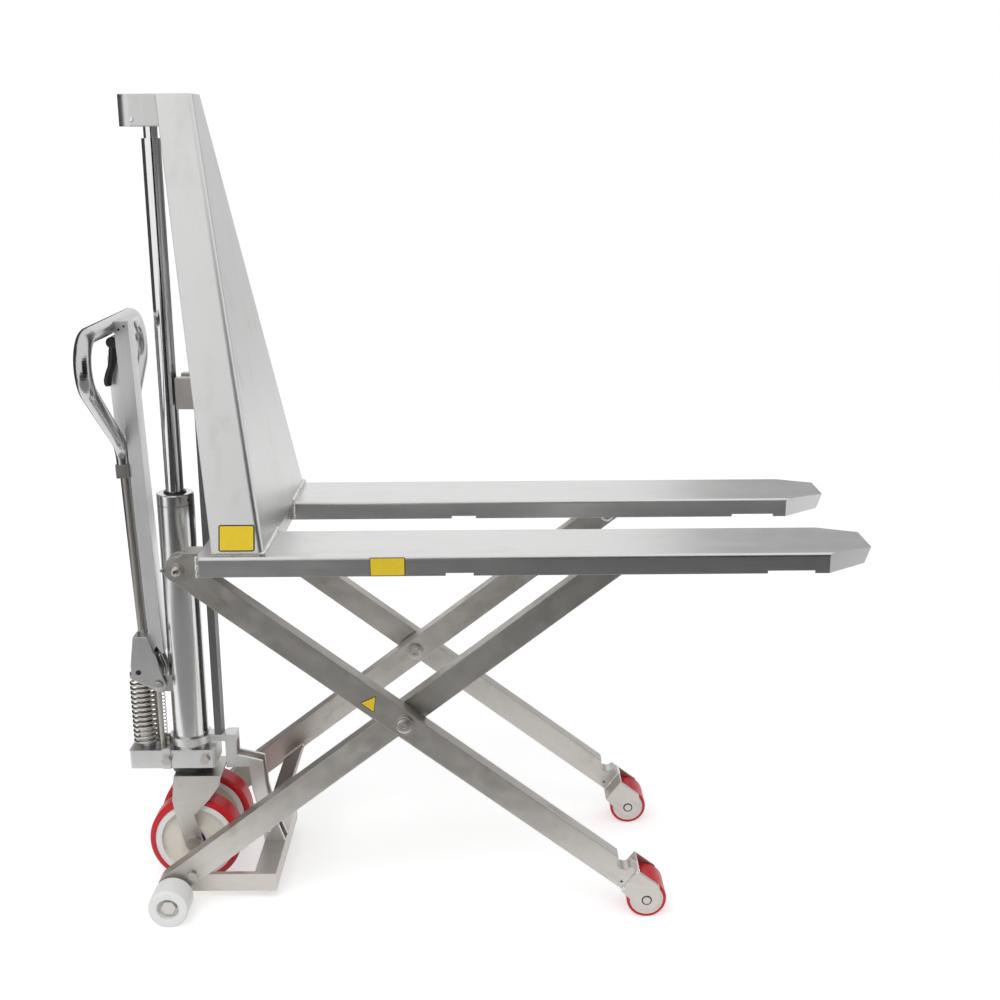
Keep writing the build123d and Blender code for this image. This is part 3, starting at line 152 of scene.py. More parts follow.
class Shader:
    """A material or a world whose nodes are made one call at a time."""

    def __init__(self, owner):
        self.owner = owner if isinstance(owner, bpy.types.World) else bpy.data.materials.new(owner)
        self.owner.use_nodes = True
        self.tree = self.owner.node_tree
        self.tree.nodes.clear()

    def node(self, kind, settings=None, inputs=None, output=0):
        made = self.tree.nodes.new(kind)
        for key, value in (settings or {}).items():
            setattr(made, key, value)
        for key, value in (inputs or {}).items():
            if isinstance(value, Socket):
                self.tree.links.new(value.output, made.inputs[key])
            else:
                made.inputs[key].default_value = value
        return Socket(self, made.outputs[output])

    def place(self):
        """Object coordinates, so that a finish stays on its piece."""
        return self.node("ShaderNodeTexCoord", output="Object")

    def vector(self, operation, first, second):
        return self.node("ShaderNodeVectorMath", {"operation": operation}, {0: first, 1: second})

    def noise(self, stretch, detail=3.0, rough=0.55, turn=0.0):
        """Noise in coordinates that are turned about the truck's cross axis and then stretched."""
        turned = self.node("ShaderNodeMapping", inputs={"Vector": self.place(), "Rotation": (0, turn, 0)})
        stretched = self.vector("MULTIPLY", turned, stretch)
        return self.node("ShaderNodeTexNoise",
                         inputs={"Vector": stretched, "Scale": 1.0, "Detail": detail, "Roughness": rough})

    def blend(self, factor, first, second):
        """A mix of two colours."""
        colours = {0: factor, 6: first, 7: second}
        return self.node("ShaderNodeMix", {"data_type": "RGBA"}, colours, output=2)

    def relief(self, height, strength, distance, edge=EDGE_RADIUS):
        """A bump over rounded edges, or over the form itself where no edge is given."""
        bump = {"Strength": strength, "Distance": distance, "Height": height}
        if edge:
            bump["Normal"] = self.node("ShaderNodeBevel", {"samples": 4}, {"Radius": edge})
        return self.node("ShaderNodeBump", inputs=bump)

    def finish(self, **sockets):
        """The surface itself, from the sockets named with underscores for spaces."""
        named = {key.replace("_", " "): value for key, value in sockets.items()}
        return self.show(self.node("ShaderNodeBsdfPrincipled", inputs=named))

    def show(self, surface):
        """Join a surface to the output."""
        kind = "World" if isinstance(self.owner, bpy.types.World) else "Material"
        made = self.tree.nodes.new(f"ShaderNodeOutput{kind}")
        self.tree.links.new(surface.output, made.inputs["Surface"])
        return self.owner


HANDLED = (0.55, 0.50, 0.44)
STRAW = (1.0, 0.95, 0.86)
SCUFFED = (0.62, 0.16, 0.16, 1.0)
RIM_INNER, RIM_OUTER = 0.064, 0.068


def tint(colour, factors):
    """A colour with each of its parts scaled, and its opacity."""
    return (*(min(1.0, part * factor) for part, factor in zip(colour, factors)), 1.0)


def shade(colour, factor):
    """A lighter or darker copy of a colour."""
    return tint(colour, (factor,) * 3)


def ground_steel(name, colour, turn, roughness=0.34, stain=0.35, edge=EDGE_RADIUS):
    """Stainless ground along one direction, with soft cloudy smears and darker handling marks."""
    metal = Shader(name)
    grain = metal.noise((5, 700, 700), 4.0, 0.6, turn)
    clouds = metal.noise((3.5, 9, 9), turn=turn)
    marks = metal.noise((9, 22, 22), 5.0, 0.62, turn).between(0.52, 0.76)
    smudges = metal.noise((26, 40, 40), 4.0, 0.6, turn).between(0.34, 0.70)
    ground = metal.blend(grain * 0.55 + clouds * 0.45, shade(colour, 0.84), shade(colour, 1.12))
    smeared = metal.blend(smudges * (stain * 0.7), ground, shade(colour, 1.25))
    stained = metal.blend(marks * stain, smeared, tint(colour, HANDLED))
    rough = roughness - 0.10 + grain * 0.12 + clouds * 0.08 + smudges * (stain * 0.22) + marks * 0.06
    return metal.finish(Base_Color=stained, Metallic=1.0, Roughness=rough,
                        Normal=metal.relief(grain, 0.10, 0.0004, edge))


def polished_steel(name, colour, roughness=0.05):
    """Bright polished tube with faint wipe marks."""
    metal = Shader(name)
    wipes = metal.noise((20, 20, 6), 4.0)
    fine = metal.noise((260, 260, 30), 2.0)
    tone = metal.blend(wipes, shade(colour, 0.93), shade(colour, 1.05))
    return metal.finish(Base_Color=tone, Metallic=1.0, Roughness=roughness + wipes * 0.04 + fine * 0.03,
                        Normal=metal.relief(fine, 0.02, 0.0002, None))


def welded_steel(name, colour):
    """Bright weld bead with a straw tint in its hollows."""
    metal = Shader(name)
    heat = metal.noise((60, 60, 60)).between(0.35, 0.7)
    pits = metal.noise((900, 900, 900))
    tone = metal.blend(heat, shade(colour, 1.20), tint(colour, STRAW))
    return metal.finish(Base_Color=tone, Metallic=1.0, Roughness=0.20 + pits * 0.2,
                        Normal=metal.relief(pits, 0.25, 0.0004))


def cast_tyre(name, colour):
    """Cast polyurethane, glossy with a faintly scuffed tread."""
    rubber = Shader(name)
    clouds = rubber.noise((25, 25, 25), 4.0)
    scuffs = rubber.noise((160, 30, 160), 4.0, 0.65).between(0.55, 0.75)
    tone = rubber.blend(clouds, shade(colour, 0.86), shade(colour, 1.14))
    worn = rubber.blend(scuffs * 0.10, tone, SCUFFED)
    return rubber.finish(Base_Color=worn, Roughness=0.30 + scuffs * 0.22 + clouds * 0.08,
                         Normal=rubber.relief(scuffs, 0.12, 0.0005))


def moulded_nylon(name, colour, roughness=0.42):
    """Nylon with the small colour drift and fine pebble of a moulding."""
    nylon = Shader(name)
    drift = nylon.noise((18, 18, 18))
    pebble = nylon.noise((1400, 1400, 1400), 2.0)
    tone = nylon.blend(drift, shade(colour, 0.93), shade(colour, 1.06))
    return nylon.finish(Base_Color=tone, Roughness=roughness - 0.05 + drift * 0.1,
                        Normal=nylon.relief(pebble, 0.06, 0.0002))


def dished_nylon(name, centre, cream, white):
    """Wheel hub: cream nylon that turns pale at the rim."""
    nylon = Shader(name)
    away = nylon.vector("SUBTRACT", nylon.place(), centre)
    flat = nylon.vector("MULTIPLY", away, (1, 0, 1))
    radius = nylon.node("ShaderNodeVectorMath", {"operation": "LENGTH"}, {0: flat}, output="Value")
    drift = nylon.noise((18, 18, 18))
    tone = nylon.blend(drift, shade(cream, 0.92), shade(cream, 1.06))
    rimmed = nylon.blend(radius.between(RIM_INNER, RIM_OUTER), tone, shade(white, 1.0))
    return nylon.finish(Base_Color=rimmed, Roughness=0.36 + drift * 0.12,
                        Normal=nylon.relief(drift, 0.05, 0.0004))


def painted_plate(name, colour):
    """Thin painted plate in one colour, a little rubbed."""
    paint = Shader(name)
    rub = paint.noise((90, 90, 90), 4.0)
    tone = paint.blend(rub, shade(colour, 0.90), shade(colour, 1.06))
    return paint.finish(Base_Color=tone, Roughness=0.38 + rub * 0.14)


MATERIALS = {}


def mix_finishes(colours):
    """Every finish of the truck, under a plain name."""
    steel, sheet = colours.steel, colours.pale_steel
    upright = math.radians(90)
    recipes = {
        "steel_level": (ground_steel, steel, 0),
        "steel_upright": (ground_steel, steel, upright),
        "steel_rising": (ground_steel, steel, SLOPE, 0.34, 0.55, 0.003),
        "steel_falling": (ground_steel, steel, -SLOPE, 0.34, 0.55, 0.003),
        "sheet_level": (ground_steel, sheet, 0, 0.32, 0.12),
        "sheet_upright": (ground_steel, sheet, upright, 0.34, 0.10, 0.003),
        "tube_upright": (polished_steel, sheet, 0.16),
        "bar_upright": (ground_steel, colours.bar, upright, 0.42, 0.08),
        # The tube behind the bar, with its shade painted into the colour.
        "stem_upright": (ground_steel, colours.stem, upright, 0.30, 0.3),
        "spring_wire": (polished_steel, steel, 0.14),
        # The guide rail's finish, with its shade painted into the colour.
        "rail_steel": (ground_steel, colours.rail, upright, 0.46, 0.2),
        "cap_bronze": (ground_steel, colours.bronze, 0, 0.30, 0.3),
        "polished": (polished_steel, colours.chrome),
        "weld": (welded_steel, sheet),
        "loop_polish": (polished_steel, colours.loop, 0.17),
        "tyre_red": (cast_tyre, colours.red),
        "nylon_white": (moulded_nylon, colours.white),
        "black_plastic": (moulded_nylon, colours.black, 0.36),
        "seal_blue": (moulded_nylon, colours.blue, 0.34),
        "plate_yellow": (painted_plate, colours.yellow),
        # Black for the plates' borders and for the painted shade in holes and gaps.
        "plate_border": (painted_plate, colours.black),
    }
    for name in SIDES:
        recipes[f"hub_{name}"] = (dished_nylon, JOINTS[f"steer_wheel_{name}"], colours.cream, colours.white)
    for name, (mix, *values) in recipes.items():
        MATERIALS[name] = mix(name, *values)


NODE_FINISHES = {
    "sheet_level": "fork_* pump_block column_collar",
    "sheet_upright": "top_bracket rocker clamp_plates risers",
    "bar_upright": "handle_bar",
    "stem_upright": "handle_tube",
    "tube_upright": "cylinder_tube cylinder_head",
    "polished": "piston_rod",
    "steel_rising": "inner_arm_* inner_cross_beam",
    "steel_falling": "outer_arm_* roller_bracket_*",
    "steel_upright": "release_rod guide_block steering_yoke",
    "steel_level": "fork_ear_* rear_pins foot_rail roller_tracks centre_pins centre_spacers slide_pins "
                   "arm_bolts load_axles load_roller_core_* base_frame hinge_pins block_bolts wheel_axle "
                   "rocker_pin press_roller",
    "rail_steel": "guide_rail",
    "cap_bronze": "pump_plunger",
    "tyre_red": "steer_tyre_* load_roller_tyre_*",
    "nylon_white": "slide_roller_*",
    "black_plastic": "bearing_ring",
    "hub_right": "steer_hub_right",
    "hub_left": "steer_hub_left",
}


def named_nodes(names):
    """Nodes of a list in which a star stands for either side."""
    return [frame["nodes"][name] for name in
            sorted({name.replace("*", side) for name in names.split() for side in SIDES})]


def facing(origin, axis):
    """A place whose local Z points along an axis."""
    return Matrix.Translation(origin) @ Vector(axis).to_track_quat("Z", "Y").to_matrix().to_4x4()


def mesh_object(name, bm, materials):
    """An object of the scene, made from a finished form and its materials."""
    mesh = bpy.data.meshes.new(name)
    bm.to_mesh(mesh)
    bm.free()
    for material in materials:
        mesh.materials.append(material)
    made = bpy.data.objects.new(name, mesh)
    bpy.context.scene.collection.objects.link(made)
    return made


def add_piece(name, bm, finishes, body):
    """A finished mesh that rides on one body of the truck."""
    bmesh.ops.remove_doubles(bm, verts=bm.verts, dist=MERGE_DISTANCE)
    bmesh.ops.recalc_face_normals(bm, faces=bm.faces)
    piece = mesh_object(name, bm, [MATERIALS[finish] for finish in finishes])
    piece.data.polygons.foreach_set("use_smooth", [True] * len(piece.data.polygons))
    piece.data.set_sharp_from_angle(angle=SMOOTH_ANGLE)
    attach(piece, body)
    return piece


def turn_profile(bm, profile, place, steps):
    """A round form spun from a profile of radius and height, set at a place."""
    corners = [bm.verts.new((radius, 0, height)) for radius, height in profile]
    edges = [bm.edges.new(pair) for pair in zip(corners, corners[1:])]
    bmesh.ops.spin(bm, geom=corners + edges, cent=(0, 0, 0), axis=(0, 0, 1), dvec=(0, 0, 0),
                   angle=2 * math.pi, steps=steps, use_merge=True)
    ring = set(corners)
    form = set(corners)
    while ring:
        ring = {other for vert in ring for edge in vert.link_edges for other in edge.verts} - form
        form.update(ring)
    bmesh.ops.transform(bm, matrix=place, verts=list(form))


def round_piece(name, profile, places, steps, finish, body):
    """A piece of one or more like round forms, each set at a point and turned along an axis."""
    bm = bmesh.new()
    for point, axis in places:
        turn_profile(bm, profile, facing(point, axis), steps)
    return add_piece(name, bm, [finish], body)


def block_piece(name, size, places, rounding, finish, body):
    """A piece of one or more like blocks with rounded edges."""
    bm = bmesh.new()
    for place in places:
        made = bmesh.ops.create_cube(bm, size=1.0)["verts"]
        bmesh.ops.scale(bm, vec=size, verts=made)
        bmesh.ops.transform(bm, matrix=place, verts=made)
        edges = list({edge for vert in made for edge in vert.link_edges})
        bmesh.ops.bevel(bm, geom=edges, offset=rounding, affect="EDGES", segments=BLOCK_EDGE_STEPS,
                        profile=0.5, material=-1)
    return add_piece(name, bm, [finish], body)


def sweep_section(bm, sides, stations):
    """A bar drawn through places, each with its own size of section."""
    ring = bmesh.ops.create_circle(bm, cap_ends=True, segments=sides, radius=1.0)["verts"]
    bmesh.ops.transform(bm, matrix=stations[0], verts=ring)
    face = ring[0].link_faces[0]
    for before, after in zip(stations, stations[1:]):
        grown = bmesh.ops.extrude_face_region(bm, geom=[face])["geom"]
        moved = [item for item in grown if isinstance(item, bmesh.types.BMVert)]
        bmesh.ops.transform(bm, matrix=after @ before.inverted(), verts=moved)
        face = next(item for item in grown if isinstance(item, bmesh.types.BMFace))


def path_stations(points, sizes, axis=ACROSS):
    """Places along a path square to an axis, each turned along it and scaled to its section."""
    stations = []
    for index, (point, size) in enumerate(zip(points, sizes)):
        ahead = (points[min(index + 1, len(points) - 1)] - points[max(index - 1, 0)]).normalized()
        turn = Matrix((axis, ahead.cross(axis), ahead)).transposed().to_4x4()
        stations.append(Matrix.Translation(point) @ turn @ Matrix.Diagonal((*size, 1, 1)))
    return stations


class TRUCK_OT_finish_nodes(Operator):
    """Give every solid of the truck its finish"""

    bl_idname = "truck.finish_nodes"
    bl_label = "Finish the solids"

    def execute(self, context):
        mix_finishes(context.scene.truck_colours)
        for finish, names in NODE_FINISHES.items():
            for node in named_nodes(names):
                node.data.materials.clear()
                node.data.materials.append(MATERIALS[finish])
        return {"FINISHED"}


class TRUCK_OT_wind_springs(Operator):
    """Wind the pump spring and the thin return spring"""

    bl_idname = "truck.wind_springs"
    bl_label = "Wind the springs"

    PUMP_TURNS, PUMP_RADIUS = 13.5, 0.0255
    RETURN_TURNS, RETURN_RADIUS = 16, 0.0035
    WIRE_SIDES = 12
    SHORTENED = 0.652

    def execute(self, context):
        sizes = context.scene.truck_sizes
        steps = sizes.coil_steps
        pump = self.wind("pump_spring", "pump_plunger", self.PUMP_RADIUS, sizes.spring_wire,
                         self.PUMP_TURNS, steps)
        self.wind("return_spring", "return_spring", self.RETURN_RADIUS, sizes.return_wire,
                  self.RETURN_TURNS, steps)
        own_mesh(pump)
        return {"FINISHED"}

    def wind(self, node, core, radius, wire, turns, steps):
        """A wire wound as high as a spring's solid, about the middle of the piece at its core."""
        low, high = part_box(node)
        near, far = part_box(core)
        axis = Vector(((near.x + far.x) / 2, (near.y + far.y) / 2, 0))
        count = int(turns * steps)
        rise = UP * ((high.z - low.z - 2 * wire) / count)
        start = Matrix.Translation((axis.x + radius, axis.y, low.z + wire))
        bm = bmesh.new()
        ring = bmesh.ops.create_circle(bm, segments=self.WIRE_SIDES, radius=wire)["verts"]
        bmesh.ops.transform(bm, matrix=start @ Matrix.Rotation(math.radians(90), 4, "X"), verts=ring)
        loop = list({edge for vert in ring for edge in vert.link_edges})
        bmesh.ops.spin(bm, geom=ring + loop, cent=axis, axis=UP, dvec=rise, angle=2 * math.pi * turns,
                       steps=count)
        bmesh.ops.holes_fill(bm, edges=[edge for edge in bm.edges if edge.is_boundary], sides=0)
        piece = add_piece(f"{node}_coil", bm, ["spring_wire"], "steering")
        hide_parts(node)
        return piece


class TRUCK_OT_shape_lever(Operator):
    """Shape the curved control lever behind the handle's bar"""

    bl_idname = "truck.shape_lever"
    bl_label = "Shape the control lever"

    ROUTE = ((0.001, 0.008), (0.000, -0.004), (-0.002, -0.018), (-0.0035, -0.032), (-0.0065, -0.047),
             (-0.0125, -0.061), (-0.0155, -0.073), (-0.0155, -0.080), (-0.0152, -0.083))
    SECTION = ((0.0056, 0.0056), (0.0060, 0.0076), (0.0060, 0.0082), (0.0060, 0.0078), (0.0060, 0.0074),
               (0.0060, 0.0072), (0.0060, 0.0076), (0.0058, 0.0070), (0.0044, 0.0052))
    SECTION_SIDES = 20
    CAP_RADIUS, CAP_DEPTH, CAP_EDGE, CAP_FOOT = 0.0105, 0.0035, 0.002, 0.0002
    CAP_STEPS = 32

    def execute(self, context):
        pivot = JOINTS["control"]
        bm = bmesh.new()
        points = [pivot + Vector((x, 0, z)) for x, z in self.ROUTE]
        sweep_section(bm, self.SECTION_SIDES, path_stations(points, self.SECTION))
        _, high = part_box("control_lever")
        cap = ((0, self.CAP_DEPTH), (self.CAP_RADIUS - self.CAP_EDGE, self.CAP_DEPTH),
               (self.CAP_RADIUS, self.CAP_DEPTH - self.CAP_EDGE), (self.CAP_RADIUS, self.CAP_FOOT),
               (0, self.CAP_FOOT))
        for side in SIDES.values():
            turn_profile(bm, cap, facing(pivot + ACROSS * side * high.y, ACROSS * side), self.CAP_STEPS)
        piece = add_piece("control_lever_grip", bm, ["black_plastic"], "control")
        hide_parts("control_lever")
        return {"FINISHED"}


class TRUCK_OT_fold_backrest(Operator):
    """Round the folds between the backrest's panel and its side flanges"""

    bl_idname = "truck.fold_backrest"
    bl_label = "Fold the backrest"

    BEND, BEND_STEPS = 0.009, 8
    SHARED_CORNER = 1e-5
    FLAT_ANGLE = math.radians(0.5)
    FOLD_RISE = 0.5
    FLAT_AREA = 0.002

    def execute(self, context):
        _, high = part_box("backrest")
        bm = bmesh.new()
        bm.from_mesh(frame["nodes"]["backrest"].data)
        bmesh.ops.remove_doubles(bm, verts=bm.verts, dist=self.SHARED_CORNER)
        bmesh.ops.dissolve_limit(bm, angle_limit=self.FLAT_ANGLE, verts=bm.verts, edges=bm.edges)
        folds = [edge for edge in bm.edges if self.is_fold(edge, high)]
        if len(folds) != len(SIDES):
            raise RuntimeError(f"the backrest shows {len(folds)} folds")
        bmesh.ops.bevel(bm, geom=folds, offset=self.BEND, affect="EDGES", segments=self.BEND_STEPS,
                        profile=0.5, material=-1)
        piece = add_piece("backrest_sheet", bm, ["sheet_upright"], "carriage")
        for panel in piece.data.polygons:
            panel.use_smooth = panel.area < self.FLAT_AREA
        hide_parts("backrest")
        return {"FINISHED"}

    def is_fold(self, edge, high):
        """Whether an edge runs up an outer corner of the panel, from its foot."""
        foot, top = sorted((vert.co for vert in edge.verts), key=lambda place: place.z)
        reach = self.BEND / 4
        at_corner = abs(foot.x - high.x) < reach and abs(abs(foot.y) - high.y) < reach
        return top.z - foot.z > self.FOLD_RISE and at_corner


class TRUCK_OT_bend_loop(Operator):
    """Bend the polished tube of the handle's loop and set the bar's far flange in it"""

    bl_idname = "truck.bend_loop"
    bl_label = "Bend the handle loop"

    CORNERS = ((0.014, 0.440), (0.014, 0.474), (0.2115, 0.630), (0.172, 0.6985))
    BEND, BEND_STEPS = 0.055, 20
    TUBE_SIDES = 36
    LEG, GRIP = 0.0125, 0.0152
    LEAN = math.radians(2)
    ALONG = Vector((-math.sin(LEAN), 0, math.cos(LEAN)))
    BACK = Vector((-math.cos(LEAN), 0, -math.sin(LEAN)))
    BEHIND = 0.0255
    FLANGE, FLANGE_EDGE = (0.029, 0.004, 0.165), 0.0012
    FLANGE_PLACE, FLANGE_BEHIND = Vector((-0.016, 0.5575)), 0.0272

    def execute(self, context):
        side = [Vector((across, along)) for across, along in self.CORNERS]
        corners = side + [Vector((-corner.x, corner.y)) for corner in reversed(side)]
        route = [corners[0]]
        for before, corner, after in zip(corners, corners[1:], corners[2:]):
            route += self.rounded(before, corner, after)
        route.append(corners[-1])
        bm = bmesh.new()
        sweep_section(bm, self.TUBE_SIDES, self.stations(route))
        piece = add_piece("handle_loop_tube", bm, ["loop_polish"], "handle")
        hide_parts("handle_loop")
        middle = Matrix.Translation(self.on_handle(self.FLANGE_PLACE, self.FLANGE_BEHIND))
        leaning = middle @ Matrix.Rotation(-self.LEAN, 4, "Y")
        block_piece("bar_flange", self.FLANGE, [leaning], self.FLANGE_EDGE, "bar_upright", "handle")
        return {"FINISHED"}

    def rounded(self, before, corner, after):
        """Points round the bend at one corner."""
        first, second = (before - corner).normalized(), (after - corner).normalized()
        half = first.angle(second) / 2
        middle = corner + (first + second).normalized() * (self.BEND / math.sin(half))
        start = corner + first * (self.BEND / math.tan(half)) - middle
        end = corner + second * (self.BEND / math.tan(half)) - middle
        turn = start.angle_signed(end)
        return [middle + Matrix.Rotation(-turn * step / self.BEND_STEPS, 2) @ start
                for step in range(self.BEND_STEPS + 1)]

    def on_handle(self, point, behind):
        """A place on a leaning plane behind the handle, from across the truck and along the handle."""
        return JOINTS["handle_tilt"] - ACROSS * point.x + self.ALONG * point.y + self.BACK * behind

    def stations(self, route):
        """Places along the loop, whose tube swells from its legs to the grip."""
        foot, knee = self.CORNERS[1][1], self.CORNERS[2][1] - self.BEND
        swells = [min(1.0, max(0.0, (point.y - foot) / (knee - foot))) for point in route]
        tubes = [self.LEG + (self.GRIP - self.LEG) * swell for swell in swells]
        path = [self.on_handle(point, self.BEHIND) for point in route]
        return path_stations(path, [(tube, tube) for tube in tubes], self.BACK)


class TRUCK_OT_lay_welds(Operator):
    """Lay the weld beads that show on forks, backrest, brackets and beams"""

    bl_idname = "truck.lay_welds"
    bl_label = "Lay the welds"

    RIPPLE_FLAT = 0.8
    WANDER, WANDER_STEP = 0.12, 2.4
    SWELL, SWELL_STEP = 0.14, 1.7
    RAIL_GAP = 0.004
    FLANGE_RUN = 0.09
    EDGE_INSET, EDGE_TOP = 0.002, 0.005
    BRACKET_TOP, BRACKET_FOOT = (0.0215, 0.004), (0.0255, 0.003)
    ARM_END, WEB_LIFT, WEB_HALF = 0.05, 0.014, 0.023
    BEAM_START, BEAM_DROP, BEAM_WIDTH = 0.206, 0.004, 0.05

    def execute(self, context):
        sizes = context.scene.truck_sizes
        for name, side in SIDES.items():
            self.lay(sizes, f"backrest_weld_{name}", "carriage", self.backrest_lines(name, side))
            self.lay(sizes, f"bracket_weld_{name}", "outer_frame", self.bracket_lines(name, side))
            self.lay(sizes, f"beam_weld_{name}", "inner_frame", self.beam_lines(side))
        return {"FINISHED"}

    def backrest_lines(self, name, side):
        """Beads at the backrest's foot, foot rail, fork end and bracket, each with its share of the size."""
        _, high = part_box("backrest")
        fork_low, fork_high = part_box(f"fork_{name}")
        rail_low, rail_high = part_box("foot_rail")
        top_low, top_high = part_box("top_bracket")
        foot = fork_high.z
        outside, inside, bracket = side * high.y, side * rail_high.y, side * top_high.y
        edge = side * (max(abs(fork_low.y), abs(fork_high.y)) - self.EDGE_INSET)
        corner = Vector((high.x, outside, foot))
        bracket_x, bracket_inset = self.BRACKET_TOP
        foot_x, foot_inset = self.BRACKET_FOOT
        return [
            (Vector((high.x, inside + side * self.RAIL_GAP, foot)), corner, 1.0),
            (corner, Vector((high.x - self.FLANGE_RUN, outside, foot)), 0.55),
            (Vector((high.x, inside, rail_low.z)), Vector((high.x, inside, foot)), 0.9),
            (Vector((fork_low.x, edge, fork_low.z + self.EDGE_INSET)),
             Vector((fork_low.x, edge, foot - self.EDGE_TOP)), 0.95),
            (Vector((bracket_x, bracket, top_high.z - bracket_inset)),
             Vector((foot_x, bracket, top_low.z + foot_inset)), 0.6),
        ]

    def bracket_lines(self, name, side):
        """End of an outer arm on the web of its roller bracket."""
        low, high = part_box(f"outer_arm_{name}")
        axle = JOINTS[f"load_wheel_{name}"]
        up_web = Vector((-DOWN_ARM.z, 0, DOWN_ARM.x))
        middle = Vector((axle.x, 0, axle.z)) - DOWN_ARM * self.ARM_END + up_web * self.WEB_LIFT
        faces = (low.y, high.y) if side < 0 else (high.y, low.y)
        bottoms = [middle + ACROSS * face - up_web * self.WEB_HALF for face in faces]
        tops = [middle + ACROSS * face + up_web * self.WEB_HALF for face in faces]
        return [(start, end, 0.8) for start, end in (*zip(bottoms, tops), tops)]

    def beam_lines(self, side):
        """End of the cross beam on an inner arm."""
        _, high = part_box("inner_cross_beam")
        start = HINGE + UP_ARM * self.BEAM_START
        drop = Vector((UP_ARM.z, 0, -UP_ARM.x)) * self.BEAM_DROP
        first = Vector((start.x, side * high.y, start.z)) + drop
        return [(first, first + UP_ARM * self.BEAM_WIDTH, 0.9)]

    def lay(self, sizes, name, body, lines):
        """One piece of several beads."""
        bm = bmesh.new()
        for start, end, share in lines:
            self.bead_row(bm, start, end, sizes.weld_radius * share, sizes.weld_pitch)
        add_piece(name, bm, ["weld"], body)

    def bead_row(self, bm, start, end, radius, pitch):
        """A row of overlapping ripples, each a flattened drop, from one point to another."""
        line = end - start
        count = max(2, int(line.length / pitch))
        for step in range(count + 1):
            wander = math.sin(step * self.WANDER_STEP) * radius * self.WANDER
            size = radius * (1 + self.SWELL * math.sin(step * self.SWELL_STEP))
            middle = start.lerp(end, step / count) + UP * wander
            lying = facing(middle, line) @ Matrix.Diagonal((1, 1, self.RIPPLE_FLAT, 1))
            bmesh.ops.create_icosphere(bm, subdivisions=2, radius=size, matrix=lying)


